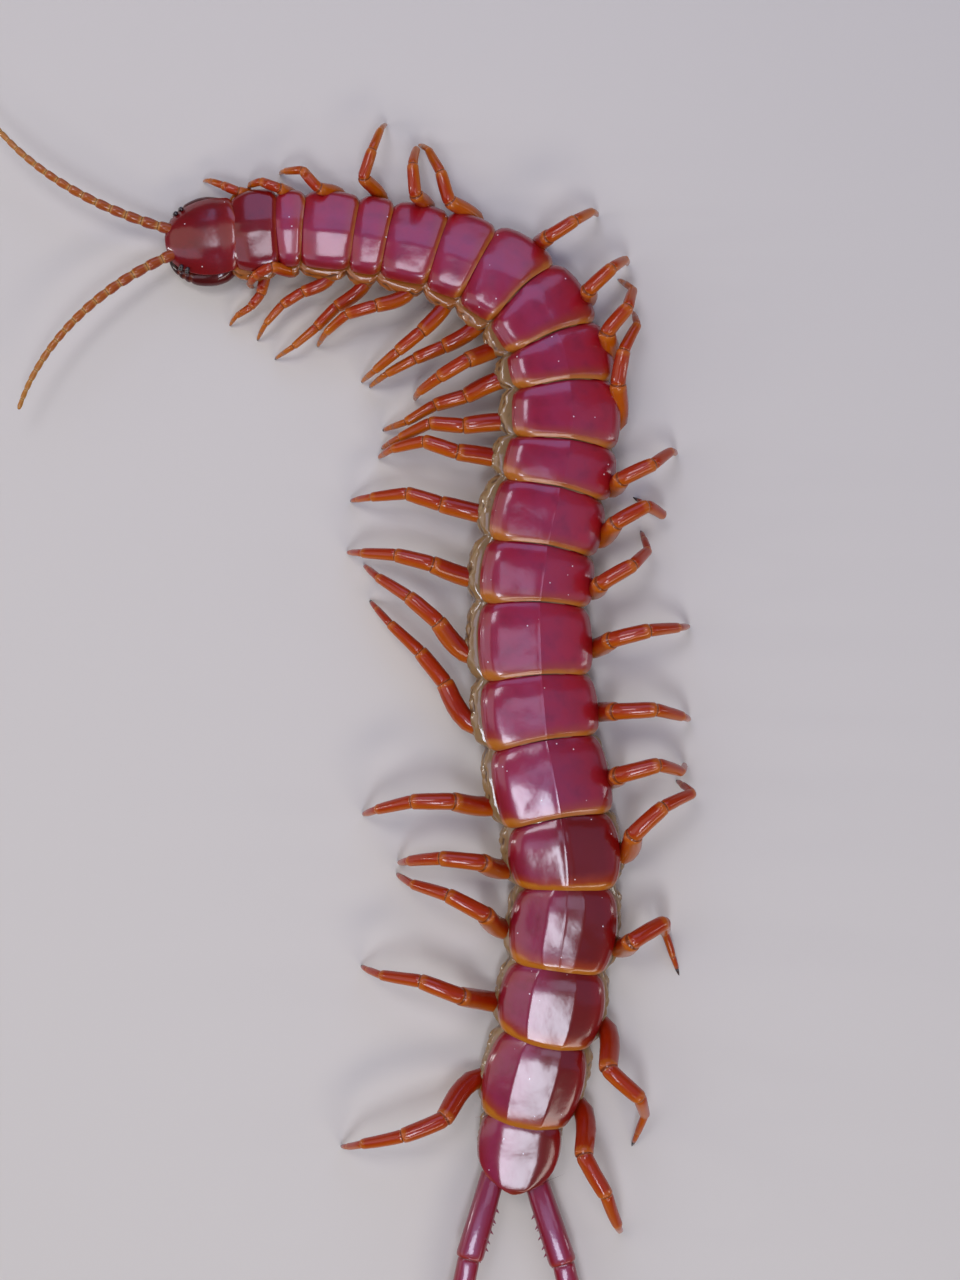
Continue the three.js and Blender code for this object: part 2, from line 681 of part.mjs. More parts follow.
function feeler(side) {
  const shares = Array.from({ length: FEELER_JOINTS }, (_, k) => lerp(1, FEELER_TAPER, k / (FEELER_JOINTS - 1)));
  const whole = shares.reduce((sum, share) => sum + share, 0);
  const links = shares.map((share, k) => {
    const t = k / (FEELER_JOINTS - 1);
    const radius = lerp(...FEELER_RADII, t);
    return {
      length: (share / whole) * FEELER_LENGTH,
      turn: HEAD_HEADING + side * lerp(...FEELER_TURN, t),
      rise: lerp(...FEELER_RISE, t),
      rings: [[0, 0.78 * radius], [0.55, radius]],
    };
  });
  const [f, u, w] = FEELER_ROOT;
  return asSolid(loft(limbRings(onHead(f, side * u, w), links, 6, 0.3))).subtract(headCutter);
}

addNode('antenna_left', feeler(1), materials.antenna);
addNode('antenna_right', feeler(-1), materials.antenna);

export default group;
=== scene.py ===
# %% [markdown]
# # A giant centipede for a museum case
# The solids of the animal come in as a fixed frame: seven lengths of trunk, forty walking legs, the last pair
# of legs, the head, the feelers, the venom claws and the mouthparts. This lesson dresses them. Plates of hard
# cuticle, soft skin between them and jointed limbs are each modelled as what they are, over the same line of
# the body that the solids follow, so nothing has to be fitted afterwards.

# %% Load the frame
import math
from collections import namedtuple
from functools import lru_cache

import bmesh
import bpy
from mathutils import Matrix, Vector, noise


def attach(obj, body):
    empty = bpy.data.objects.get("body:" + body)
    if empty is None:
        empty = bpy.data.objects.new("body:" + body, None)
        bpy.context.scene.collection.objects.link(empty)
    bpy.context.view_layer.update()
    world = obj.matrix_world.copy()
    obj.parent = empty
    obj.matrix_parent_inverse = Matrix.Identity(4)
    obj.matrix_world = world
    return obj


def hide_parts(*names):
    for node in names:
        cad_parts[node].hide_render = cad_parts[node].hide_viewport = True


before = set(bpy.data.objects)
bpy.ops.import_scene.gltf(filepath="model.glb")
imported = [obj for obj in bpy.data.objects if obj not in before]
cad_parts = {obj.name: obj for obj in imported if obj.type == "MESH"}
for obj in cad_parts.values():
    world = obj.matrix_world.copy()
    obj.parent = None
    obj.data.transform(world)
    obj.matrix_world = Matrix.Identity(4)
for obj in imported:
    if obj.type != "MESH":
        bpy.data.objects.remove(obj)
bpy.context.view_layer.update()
MM = 0.001

# %% [markdown]
# ## The camera
# The photograph looks straight down on the animal. One pixel is 0.2 mm at the height of the back, and that,
# with the camera's height, gives the length of the lens. The sensor's width is that of the picture's long
# side. Standard colours are used, because a film-like curve would fade the reds.

# %% Camera
IMAGE_HEIGHT = 1280
PIXEL = 0.2 * MM
BACK_HEIGHT = 10 * MM
CAMERA_PLACE = Vector((28.3, 28.0, 400.0)) * MM
SENSOR = 36.0
half_tangent = IMAGE_HEIGHT / 2 * PIXEL / (CAMERA_PLACE.z - BACK_HEIGHT)
camera = bpy.data.objects.new("camera", bpy.data.cameras.new("camera"))
camera.location = CAMERA_PLACE
camera.data.sensor_width = SENSOR
camera.data.lens = SENSOR / 2 / half_tangent
bpy.context.scene.collection.objects.link(camera)
bpy.context.scene.camera = camera
bpy.context.scene.view_settings.view_transform = "Standard"
print("lens in mm:", round(camera.data.lens, 2))

# %% [markdown]
# ## Colours and nodes
# Paint chips are given as hex values, which are meant for a screen. A shader wants linear light, so one
# function turns them. A second function adds a node with its settings and links, and a third lays a colour
# over what is below it, as a painter does with a glaze. A pattern's scale is worked out from its size in
# millimetres: Object coordinates are metres here, so 1 / size gives repeats of that size.


# %% Helpers for materials
def linear(chip):
    """Linear colour of a hex value such as a83008."""
    shares = [int(chip[k : k + 2], 16) / 255 for k in (0, 2, 4)]
    return (*(s / 12.92 if s <= 0.04045 else ((s + 0.055) / 1.055) ** 2.4 for s in shares), 1.0)


def socket(sockets, key):
    """The socket in use that has this name, or this place in the list."""
    return sockets[key] if isinstance(key, int) else next(s for s in sockets if s.enabled and s.name == key)


def add_node(tree, kind, values=(), links=(), **settings):
    """A node with its settings, the values of its sockets and what they are linked to."""
    made = tree.nodes.new(kind)
    for name, value in settings.items():
        setattr(made, name, value)
    for key, value in dict(values).items():
        socket(made.inputs, key).default_value = value
    for key, source in dict(links).items():
        node, output = source if isinstance(source, tuple) else (source, None)
        start = socket(node.outputs, output) if output else next(s for s in node.outputs if s.enabled)
        tree.links.new(start, socket(made.inputs, key))
    return made


def repeats(size_mm):
    """Scale of a pattern whose features are this large."""
    return 1 / (size_mm * MM)


def paint_over(tree, below, chip, source, low, high, most=1.0, through=None):
    """Lays a colour over what is below it, a node or a colour: none where source is low, most where high."""
    mask = add_node(
        tree, "ShaderNodeMapRange", {"From Min": low, "From Max": high, "To Max": most}, {"Value": source},
        interpolation_type="SMOOTHSTEP",
    )
    if through is not None:
        mask = add_node(tree, "ShaderNodeMath", {}, {0: mask, 1: through}, operation="MULTIPLY")
    chips, links = {"B": linear(chip)}, {"Factor": mask}
    if isinstance(below, str):
        chips["A"] = linear(below)
    else:
        links["A"] = below
    return add_node(tree, "ShaderNodeMix", chips, links, data_type="RGBA")


print("half grey in linear light:", round(linear("808080")[0], 3))

# %% [markdown]
# ## The stage
# A plain pale floor and soft studio lights. Polished cuticle is seen mostly by what it mirrors, so each
# light stands where a face of the back throws it to the camera. Four windows hang level over the animal and
# give the pale patches: one for the front of the trunk, one for its end and two dimmer ones between them. The
# others are turned to the animal: a soft key light from the left, which puts the shadows on the right, two
# low strips and a small lamp behind that draw thin lines along the rims, and bluish boxes for the bloom on
# the faces that lean away.

# %% Floor, lights and surroundings
FLOOR_SIZE, FLOOR_PAINT, FLOOR_ROUGHNESS = 8.0, "d2cdc3", 0.7
AIM = Vector((0.02, 0.0, 0.01))
# Place and size in metres, power in watts and colour of each light. Windows hang level at this height.
WINDOW_HEIGHT = 0.66
WINDOWS = {
    "front_window": ((-0.10, 0.27), (0.20, 0.21), 1.0, "f2f2ff"),
    "middle_window": ((0.16, 0.0), (0.16, 0.14), 0.18, "d4d8ff"),
    "hind_window": ((-0.01, -0.10), (0.20, 0.10), 0.12, "ccd0ff"),
    "tail_window": ((0.028, -0.265), (0.115, 0.23), 1.3, "e8eeff"),
}
LAMPS = {
    "key": ((-0.60, 0.12, 0.62), (0.8, 0.8), 1.8, "fff2e0"),
    "left_strip": ((-0.80, 0.06, 0.20), (0.05, 0.3), 0.8, "ffffff"),
    "right_strip": ((0.80, 0.0, 0.15), (0.06, 0.5), 0.5, "ffffff"),
    "left_sky": ((-0.75, -0.10, 0.75), (0.5, 0.9), 0.8, "a8b0ff"),
    "right_sky": ((0.80, 0.0, 0.70), (0.6, 0.9), 0.7, "b8bcff"),
    "far_sky": ((0.10, 0.85, 0.60), (0.9, 0.6), 2.6, "b8c0ff"),
    "rear_lamp": ((0.36, -0.68, 0.64), (0.7, 0.2), 2.2, "fff6ee"),
}
SURROUNDINGS, SURROUNDINGS_STRENGTH = "e4e6ea", 0.12


def matte(name, chip, roughness):
    """A plain material of one colour."""
    made = bpy.data.materials.new(name)
    made.use_nodes = True
    shader = made.node_tree.nodes["Principled BSDF"]
    shader.inputs["Base Color"].default_value = linear(chip)
    shader.inputs["Roughness"].default_value = roughness
    return made


def floor_sheet():
    board = bmesh.new()
    bmesh.ops.create_grid(board, x_segments=1, y_segments=1, size=FLOOR_SIZE / 2)
    mesh = bpy.data.meshes.new("floor")
    board.to_mesh(mesh)
    board.free()
    mesh.materials.append(matte("painted_board", FLOOR_PAINT, FLOOR_ROUGHNESS))
    floor = bpy.data.objects.new("floor", mesh)
    bpy.context.scene.collection.objects.link(floor)


def softbox(name, place, size, power, chip, turned=True):
    """A rectangular light at place, turned to the animal or hung level."""
    light = bpy.data.lights.new(name, "AREA")
    light.shape = "RECTANGLE"
    light.size, light.size_y = size
    light.energy = power
    light.color = linear(chip)[:3]
    made = bpy.data.objects.new(name, light)
    made.location = place
    made.rotation_mode = "QUATERNION"
    if turned:
        made.rotation_quaternion = (AIM - Vector(place)).to_track_quat("-Z", "Y")
    made.visible_camera = False
    bpy.context.scene.collection.objects.link(made)


floor_sheet()
for name, (place, size, power, chip) in WINDOWS.items():
    softbox(name, (*place, WINDOW_HEIGHT), size, power, chip, turned=False)
for name, (place, size, power, chip) in LAMPS.items():
    softbox(name, place, size, power, chip)
world = bpy.data.worlds.new("studio")
world.use_nodes = True
world.node_tree.nodes["Background"].inputs["Color"].default_value = linear(SURROUNDINGS)
world.node_tree.nodes["Background"].inputs["Strength"].default_value = SURROUNDINGS_STRENGTH
bpy.context.scene.world = world

# %% [markdown]
# ## The line of the body
# A centipede's trunk is a row of like segments. Each row of the table is one segment, head end first: its
# length, its heading towards the head, the width of its back plate and its roll to the animal's right. They
# are the values that the solids are made from, in millimetres and degrees. A smooth curve through the
# segments gives, at any point, a small frame of its own: forward, left and up. Every plate, fold and limb
# below is placed in that frame, which is why nothing here needs a coordinate of its own.

# %% Segments
SEGMENTS = [
    (9.2, 185, 17.2, 8),
    (5.2, 182, 16.4, 10),
    (10.4, 174.5, 17.0, 12),
    (6.7, 170, 17.2, 14),
    (10.4, 168, 17.8, 16),
    (8.7, 160, 18.8, 16),
    (10.6, 148, 20.6, 16),
    (10.8, 124, 21.5, 16),
    (9.7, 104, 22.3, 16),
    (11.6, 91, 23.0, 16),
    (9.6, 78, 23.6, 16),
    (11.9, 77.5, 23.8, 16),
    (11.5, 83, 24.0, 16),
    (14.6, 91.5, 23.9, 14),
    (13.1, 96, 24.2, 12),
    (15.9, 101.5, 23.8, 9),
    (13.9, 97.5, 22.9, 4),
    (16.3, 83.5, 21.8, 0),
    (14.6, 80, 21.6, 0),
    (16.9, 75.5, 20.4, 0),
    (13.8, 81.5, 16.8, 0),
]
LENGTH, HEADING, WIDTH, ROLL = range(4)
LAST = len(SEGMENTS) - 1
TAIL_POINT = Vector((35.1, -82.0, 0))
FLATNESS = 0.46
BELLY_CLEARANCE = 1.0
# The belly is flat out to this share of the half width.
BELLY_SHARE = 0.62
UP = Vector((0, 0, 1))

Station = namedtuple("Station", "origin forward left up half height roll")


def lerp(a, b, share):
    return a + (b - a) * share


def ramp(low, high, x):
    """0 below low, 1 above high and a smooth rise between them."""
    s = min(max((x - low) / (high - low), 0), 1)
    return s * s * (3 - 2 * s)


def plan_vector(degrees):
    """Unit vector on the floor plan."""
    return Vector((math.cos(math.radians(degrees)), math.sin(math.radians(degrees)), 0))


segment_ends = [TAIL_POINT]
for segment in reversed(SEGMENTS):
    segment_ends.insert(0, segment_ends[0] + plan_vector(segment[HEADING]) * segment[LENGTH])


def at_end(column, i):
    """A value where segment i begins: the mean of its two neighbours."""
    return (SEGMENTS[max(i - 1, 0)][column] + SEGMENTS[min(i, LAST)][column]) / 2


def along(column, i, t):
    """A value within segment i, on a parabola through both ends and the middle."""
    start, own, end = at_end(column, i), SEGMENTS[i][column], at_end(column, i + 1)
    return start * (1 - t) * (1 - 2 * t) + own * 4 * t * (1 - t) + end * t * (2 * t - 1)


@lru_cache(maxsize=None)
def station(i, t):
    """The body's own frame at share t of segment i, from front to rear."""
    third = SEGMENTS[i][LENGTH] / 3
    front, rear = segment_ends[i], segment_ends[i + 1]
    bend_a = front - plan_vector(at_end(HEADING, i)) * third
    bend_b = rear + plan_vector(at_end(HEADING, i + 1)) * third
    s = 1 - t
    origin = front * s**3 + bend_a * (3 * s * s * t) + bend_b * (3 * s * t * t) + rear * t**3
    tangent = (bend_a - front) * (s * s) + (bend_b - bend_a) * (2 * s * t) + (rear - bend_b) * (t * t)
    forward = -tangent.normalized()
    roll = math.radians(along(ROLL, i, t))
    half = along(WIDTH, i, t) / 2
    height = FLATNESS * 2 * half
    level = UP.cross(forward)
    origin.z = BELLY_CLEARANCE + BELLY_SHARE * half * math.sin(roll) + height / 2 * math.cos(roll)
    left = level * math.cos(roll) + UP * math.sin(roll)
    up = UP * math.cos(roll) - level * math.sin(roll)
    return Station(origin, forward, left, up, half, height, along(ROLL, i, t))


def on_body(at, u, w, f=0.0):
    """Point of the body: u to the animal's left, w up, f forward."""
    return at.origin + at.left * u + at.up * w + at.forward * f


trunk_length = sum(segment[LENGTH] for segment in SEGMENTS)
print("segments:", len(SEGMENTS), "trunk in mm:", round(trunk_length, 1))

# %% [markdown]
# ## From sheet to shell, and from sheet to tube
# Nearly every piece starts as a flat grid. Left flat, it is laid over the body as a plate: the grid's two
# directions become across and along, the sheet is given its thickness, and its rim is rounded. Rolled up and
# welded along its long edges it is a tube, which becomes the trunk's skin, a leg or a feeler. Each vertex
# also keeps a few numbers, such as its distance from the plate's rear edge, and the materials read them back
# to paint a margin where the margin is. Pieces are modelled in millimetres and brought to metres at the end.

# %% Helpers for meshes
RIM_TURN = 1.0
WELD = 1e-4


def table_value(table, x):
    """Value at x of a smooth line through (x, value) pairs."""
    k = max(n for n in range(len(table) - 1) if n == 0 or table[n][0] <= x)
    (x0, y0), (x1, y1) = table[k], table[k + 1]

    def slope(n):
        (xa, ya), (xb, yb) = table[max(n - 1, 0)], table[min(n + 1, len(table) - 1)]
        return (yb - ya) / (xb - xa)

    s = min(max((x - x0) / (x1 - x0), 0), 1)
    start, end = (x1 - x0) * slope(k), (x1 - x0) * slope(k + 1)
    bend = start * (s**3 - 2 * s * s + s) + end * (s**3 - s * s)
    return y0 + (y1 - y0) * s * s * (3 - 2 * s) + bend


def sheet(columns, rows, place, numbers):
    """A grid with numbers, whose vertices go where place(x, y) says, x from -1 to 1 and y from 0 to 1."""
    bm = bmesh.new()
    layers = [bm.verts.layers.float.new(name) for name in numbers]
    bmesh.ops.create_grid(bm, x_segments=columns, y_segments=rows, size=1)
    for vert in bm.verts:
        point, *found = place(vert.co.x, (vert.co.y + 1) / 2)
        vert.co = point
        for layer, value in zip(layers, found):
            vert[layer] = value
    return bm


def thicken(bm, thickness, rim, down):
    """Gives a sheet its thickness on the side away from its face and rounds its rim."""
    faces = bm.faces[:]
    bm.normal_update()
    if sum((face.normal.dot(down) for face in faces), 0) > 0:
        bmesh.ops.reverse_faces(bm, faces=faces)
    bmesh.ops.solidify(bm, geom=faces, thickness=thickness)
    bm.normal_update()
    edges = [e for e in bm.edges if len(e.link_faces) == 2 and e.calc_face_angle() > RIM_TURN]
    bmesh.ops.bevel(
        bm, geom=edges, offset=rim, offset_type="OFFSET", segments=3, profile=0.5, affect="EDGES", material=-1
    )
    return bm


def tube(sides, rings, place, numbers):
    """A sheet rolled up: place(ring, turn) gives the point, with turn from 0 to 1 round the tube."""
    bm = sheet(sides, rings - 1, lambda x, y: place(round(y * (rings - 1)), (x + 1) / 2), numbers)
    bmesh.ops.remove_doubles(bm, verts=bm.verts, dist=WELD)
    bmesh.ops.holes_fill(bm, edges=[edge for edge in bm.edges if edge.is_boundary])
    bmesh.ops.recalc_face_normals(bm, faces=bm.faces)
    return bm


def finish_piece(bm, name, material, replaced=()):
    """Brings a piece to metres, shades it smooth and hangs it on the body."""
    bmesh.ops.scale(bm, vec=Vector((MM, MM, MM)), verts=bm.verts)
    mesh = bpy.data.meshes.new(name)
    bm.to_mesh(mesh)
    bm.free()
    mesh.materials.append(material)
    mesh.shade_smooth()
    piece = bpy.data.objects.new(name, mesh)
    bpy.context.scene.collection.objects.link(piece)
    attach(piece, "root")
    if replaced:
        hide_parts(*replaced)
    return piece


print("halfway between two points of a table:", table_value([(0, 0), (1, 1)], 0.5))

# %% [markdown]
# ## Cuticle
# The hard parts are sclerotised cuticle: chitin and tanned protein, laid down in layers and waxed on the
# outside. It looks like dark amber under clear lacquer, so each material is a Principled shader with an
# index of refraction of 1.56, a soft lobe for the layers inside and a sharp clear coat for the waxed skin.
# The colour comes from tanning: thick, old cuticle is oxblood, thin margins are orange, and a bare edge is
# amber.

# %% The common start of every cuticle
CHITIN_IOR = 1.56
# Red light goes furthest into the layers, then green, then blue.
SCATTER = (1.0, 0.35, 0.12)


def cuticle(name, roughness, coat, coat_roughness, depth_mm=0.0, depth_share=0.0, gloss=0.25, tint="ffffff"):
    """A new material with its shader set for cuticle. Gloss and tint belong to the layers under the coat."""
    made = bpy.data.materials.new(name)
    made.use_nodes = True
    shader = made.node_tree.nodes["Principled BSDF"]
    fixed = {
        "Roughness": roughness,
        "IOR": CHITIN_IOR,
        "Specular IOR Level": gloss,
        "Specular Tint": linear(tint),
        "Coat IOR": CHITIN_IOR,
        "Coat Weight": coat,
        "Coat Roughness": coat_roughness,
        "Subsurface Weight": depth_share,
        "Subsurface Scale": depth_mm * MM,
    }
    for key, value in fixed.items():
        shader.inputs[key].default_value = value
    shader.inputs["Subsurface Radius"].default_value = SCATTER
    return made, made.node_tree, shader


def surface_places(tree):
    return (add_node(tree, "ShaderNodeTexCoord"), "Object")


print("index of refraction of cuticle:", CHITIN_IOR)

# %% [markdown]
# ## Back plates: the finish
# Each back plate is oxblood, redder towards the head and darker towards the tail. Its middle carries a cloudy
# purple bloom and the half that the animal has raised is more purple: both are painted sheen, the sky's
# reflection laid into the colour. The sides are redder. Along the rear edge, where the plate is one thin
# layer, it shades off to orange and then to amber, and on the raised side that band widens towards the
# corner, painted glow of light through the thin edge. The plate carries its distances from those edges in
# millimetres, so the bands have their real widths. Pits and faint ripples 2 to 3 mm long keep the reflections
# from being perfect.
# The pits are drawn coarser than real ones, which are too fine to show. A few pale specks are scattered over
# it.
# The last five plates are darker, with less gloss under the coat, and the first one shares the head's deeper
# red, partly its own colour and partly painted shade.

# %% Material of the back plates
# Painted sheen: the raised-side colours and the bloom stand for the sky's reflection, laid into the colour.
FIELD_HEAD, FIELD_TAIL, FIELD_RAISED_SHEEN, FIELD_DEEP, FLANK_RED = "9e0c12", "680406", "960c26", "680410", "860a06"
FIELD_SKY_SHEEN, TAIL_RAISED_SHEEN = "8a4878", "8e2248"
EDGE_ORANGE, EDGE_AMBER, SPECK = "9a3604", "b46a10", "ecd8e0"
# Reach and softness in mm of the bands along the sides and the rear edge.
SIDE_BAND, REAR_BAND, AMBER_BAND = (0.1, 0.3), (1.8, 1.7), (0.75, 0.6)
# What each vertex of a plate keeps: place across, distance to the rear, tone and distance to the side.
PLATE_NUMBERS = ["across", "rear_mm", "tone", "side_mm"]


def plate_material(
    name, head_end, tail_end, raised, bloom, deep, side, edge, amber, tint="aeaeff", gloss=0.42
):
    """Cuticle of a plate with the colours of its field, its patches and its margins."""
    made, tree, shader = cuticle(
        name, 0.4, coat=1.0, coat_roughness=0.16, depth_mm=0.8, depth_share=0.1, gloss=gloss, tint=tint
    )
    places = surface_places(tree)
    across, rear, tone, suture = (
        (add_node(tree, "ShaderNodeAttribute", attribute_name=key), "Fac") for key in PLATE_NUMBERS
    )
    ends = {"A": linear(head_end), "B": linear(tail_end)}
    colour = add_node(tree, "ShaderNodeMix", ends, {"Factor": tone}, data_type="RGBA")
    # The field, then painted sheen, the sky's reflection laid into the colour: the raised half more purple
    # and a purple bloom on the middle. Then darker clouds and the redder sides.
    colour = paint_over(tree, colour, raised, across, -0.2, 0.4, 0.85)
    cloud = add_node(
        tree, "ShaderNodeTexNoise", {"Scale": repeats(3.5), "Detail": 4.0, "Roughness": 0.55},
        {"Vector": places},
    )
    lean = add_node(tree, "ShaderNodeMath", {}, {0: across}, operation="ABSOLUTE")
    colour = paint_over(tree, colour, bloom, lean, 0.75, 0.1, 0.36, through=cloud)
    colour = paint_over(tree, colour, deep, cloud, 0.4, 0.8, 0.45)
    colour = paint_over(tree, colour, side, lean, 0.62, 0.98, 0.75)
    # Noise makes the bands' edges wander.
    ragged = add_node(tree, "ShaderNodeTexNoise", {"Scale": repeats(1.6), "Detail": 3.0}, {"Vector": places})
    wander = add_node(tree, "ShaderNodeMath", {1: 0.7, 2: -0.35}, {0: ragged}, operation="MULTIPLY_ADD")
    bands = [(suture, SIDE_BAND, edge), (rear, REAR_BAND, edge), (rear, AMBER_BAND, amber)]
    for distance, (reach, soft), chip in bands:
        moved = add_node(tree, "ShaderNodeMath", {}, {0: distance, 1: wander}, operation="ADD")
        colour = paint_over(tree, colour, chip, moved, reach + soft, reach - soft)
    # Specks lie where a point is very near the middle of its cell.
    dots = add_node(
        tree, "ShaderNodeTexVoronoi", {"Scale": repeats(3.0), "Randomness": 1.0}, {"Vector": places}
    )
    colour = paint_over(tree, colour, SPECK, (dots, "Distance"), 0.06, 0.035)
    tree.links.new(socket(colour.outputs, "Result"), shader.inputs["Base Color"])
    # Ripples bend the coat as well as the layers under it, and pits only the layers.
    ripple = add_node(
        tree, "ShaderNodeTexNoise", {"Scale": repeats(2.6), "Detail": 2.0, "Roughness": 0.5},
        {"Vector": places},
    )
    waved = add_node(tree, "ShaderNodeBump", {"Strength": 0.4, "Distance": 0.10 * MM}, {"Height": ripple})
    pits = add_node(tree, "ShaderNodeTexNoise", {"Scale": repeats(0.25), "Detail": 2.0}, {"Vector": places})
    pitted = add_node(
        tree, "ShaderNodeBump", {"Strength": 0.25, "Distance": 0.012 * MM}, {"Height": pits, "Normal": waved}
    )
    tree.links.new(pitted.outputs["Normal"], shader.inputs["Normal"])
    tree.links.new(waved.outputs["Normal"], shader.inputs["Coat Normal"])
    dulled = add_node(
        tree, "ShaderNodeMapRange", {"From Min": 0.3, "From Max": 0.7, "To Min": 0.36, "To Max": 0.48},
        {"Value": pits},
    )
    tree.links.new(dulled.outputs["Result"], shader.inputs["Roughness"])
    return made


oxblood_cuticle = plate_material(
    "oxblood_cuticle", FIELD_HEAD, FIELD_TAIL, FIELD_RAISED_SHEEN, FIELD_SKY_SHEEN, FIELD_DEEP, FLANK_RED,
    EDGE_ORANGE, EDGE_AMBER,
)
dark_oxblood_cuticle = plate_material(
    "dark_oxblood_cuticle", FIELD_TAIL, FIELD_TAIL, TAIL_RAISED_SHEEN, FIELD_TAIL, FIELD_DEEP, FLANK_RED,
    EDGE_ORANGE, EDGE_AMBER, tint="ffc8c8", gloss=0.18,
)
# The head's deeper red; the first back plate shares it, partly its own colour and partly painted shade.
head_shield_cuticle = plate_material(
    "head_cuticle", "760406", "760406", "760406", "760406", "500204", "760604", "841204", "963408", gloss=0.12
)
print("back plate material nodes:", len(oxblood_cuticle.node_tree.nodes))

# %% [markdown]
# ## Back plates: the shape
# Twenty-one plates roof the trunk. Seen from the front a plate is three flat facets, like a low mansard roof:
# a level strip down the middle and two faces that fall gently from the lines beside it, then roll down to the
# edge. Near the head the lines are so soft that the plate looks domed, on the ninth to sixteenth plates the
# strip closes to one soft crease, and towards the tail it opens again between crisp lines. From the ninth
# plate on the edge carries a fine raised bead. Seen from above its corners are rounded, its front is tucked
# under the plate before it, and its rear edge is turned down over the plate behind it. A loft through a few
# outlines could make this, but a sheet laid over the body keeps even faces, so the crisp lines stay crisp.

# %% Back plates
PLATE_WIDTH = [(0, 0.85), (0.2, 0.965), (0.55, 1.0), (0.85, 0.97), (1, 0.9)]
BARREL_WIDTH = [(0, 0.8), (0.2, 0.94), (0.5, 1.0), (0.8, 0.94), (1, 0.82)]
PLATE_LIFT = [(0, -0.95), (0.12, -0.4), (0.3, -0.05), (0.6, 0.0), (0.88, 0.0), (1, -0.05)]
FIRST_WIDTH = [(0, 0.72), (0.15, 0.88), (0.5, 1.0), (0.88, 0.99), (1, 0.92)]
FIRST_LIFT = [(0, -1.3), (0.15, -0.45), (0.4, 0.0), (0.88, 0.0), (1, -0.05)]
LAST_WIDTH = [(0, 0.92), (0.25, 1.0), (0.5, 1.0), (0.7, 0.93), (0.82, 0.82), (0.92, 0.68), (1, 0.5)]
LAST_LIFT = [(0, -0.8), (0.2, -0.1), (0.6, 0.0), (0.85, -0.15), (1, -0.4)]
# From this segment on: half width of the level strip and softness of the lines beside it.
CREASES = [
    (0, 0.18, 0.08), (6, 0.1, 0.1), (8, 0.0, 0.13), (16, 0.1, 0.06), (17, 0.34, 0.03), (18, 0.41, 0.015),
    (LAST, 0.62, 0.2),
]
BARREL_FROM = 16
# From this segment on: width and lift along the plate, and its finish.
OUTLINES = [
    (0, FIRST_WIDTH, FIRST_LIFT), (1, PLATE_WIDTH, PLATE_LIFT), (BARREL_FROM, BARREL_WIDTH, PLATE_LIFT),
    (LAST, LAST_WIDTH, LAST_LIFT),
]
# The first plate takes the head's deeper red, partly painted shade.
FINISHES = [(0, head_shield_cuticle), (1, oxblood_cuticle), (BARREL_FROM, dark_oxblood_cuticle)]
# From this segment on: how far the middle of the rear edge is drawn in, or bulges out below zero.
ARCHES = [(0, 0.2), (1, 0.1), (6, 0.9), (16, 0.1), (18, -0.9), (LAST, -1.6)]
TONE_FROM, TONE_TO = 13, 18
ACROSS = [(0, 0), (0.06, 0.02), (0.72, 0.9), (0.95, 0.985), (1, 1)]
ALONG = [(0, 0), (0.15, 0.08), (0.7, 0.8), (1, 1)]
PLATE_COLUMNS, PLATE_ROWS = 112, 34
RIDGE, FACET_FALL, EDGE_FALL, EDGE_POWER, DOME_FALL = 0.5, 0.15, 0.2, 11.0, 0.012
PLATE_THICKNESS, PLATE_RIM = 0.36, 0.12
OVERLAP = 0.75
REAR_LIP, REAR_LIP_REACH, REAR_LIP_AT_SIDE = 0.38, 1.0, 0.4
FRONT_CORNER, REAR_CORNER = 1.8, 1.5
UNEVEN, UNEVEN_SIZE = 0.07, 4.0
BEAD_HEIGHT, BEAD_PLACE, BEAD_HALF = 0.15, 0.4, 0.28
BEAD_FROM = 8
# On the raised side the orange rear margin widens towards the corner: painted glow of light through the thin
# edge there.
MARGIN_WEDGE = 1.6
# How many mm narrower the margin is: on the front plates, on the hind ones, where it is wider, and on the
# last, which hardly thins at its edge.
FRONT_MARGIN, HIND_MARGIN, LAST_MARGIN = 0.5, -0.4, 1.4
# From the eleventh to the eighteenth plate a fine keel runs down the middle.
KEEL_HEIGHT, KEEL_HALF = 0.04, 0.3

PlateForm = namedtuple("PlateForm", "widths lifts strip soft arch")


def inset_of_corner(distance, radius):
    """How far a rounded corner pulls the side in, this far from the plate's end."""
    d = min(max(distance, 0), radius)
    return radius - math.sqrt(radius**2 - (radius - d) ** 2)


def hump(x):
    """A smooth bump from -1 to 1."""
    return max(1 - x * x, 0) ** 2


def from_segment(table, i):
    """What a table says for segment i: the last row that begins at it or before it."""
    return [row for first, *row in table if first <= i][-1]


def plate_form(i):
    """Width and lift along plate i, its middle strip, and how far its rear edge is drawn in."""
    return PlateForm(*(value for table in (OUTLINES, CREASES, ARCHES) for value in from_segment(table, i)))


def eased(d, soft):
    """0 below zero and d above it, with the corner between them rounded over this reach."""
    return max(d, 0) if abs(d) > soft else (d + soft) ** 2 / (4 * soft)


def roof(u, form):
    """Height share of the plate's face at share u of its half width."""
    x = eased(abs(u) - form.strip, form.soft) / (1 - form.strip)
    return RIDGE - DOME_FALL * u * u - FACET_FALL * x - EDGE_FALL * x**EDGE_POWER


def tone_of(i):
    """0 at the head end and 1 towards the tail."""
    return ramp(TONE_FROM, TONE_TO, i)


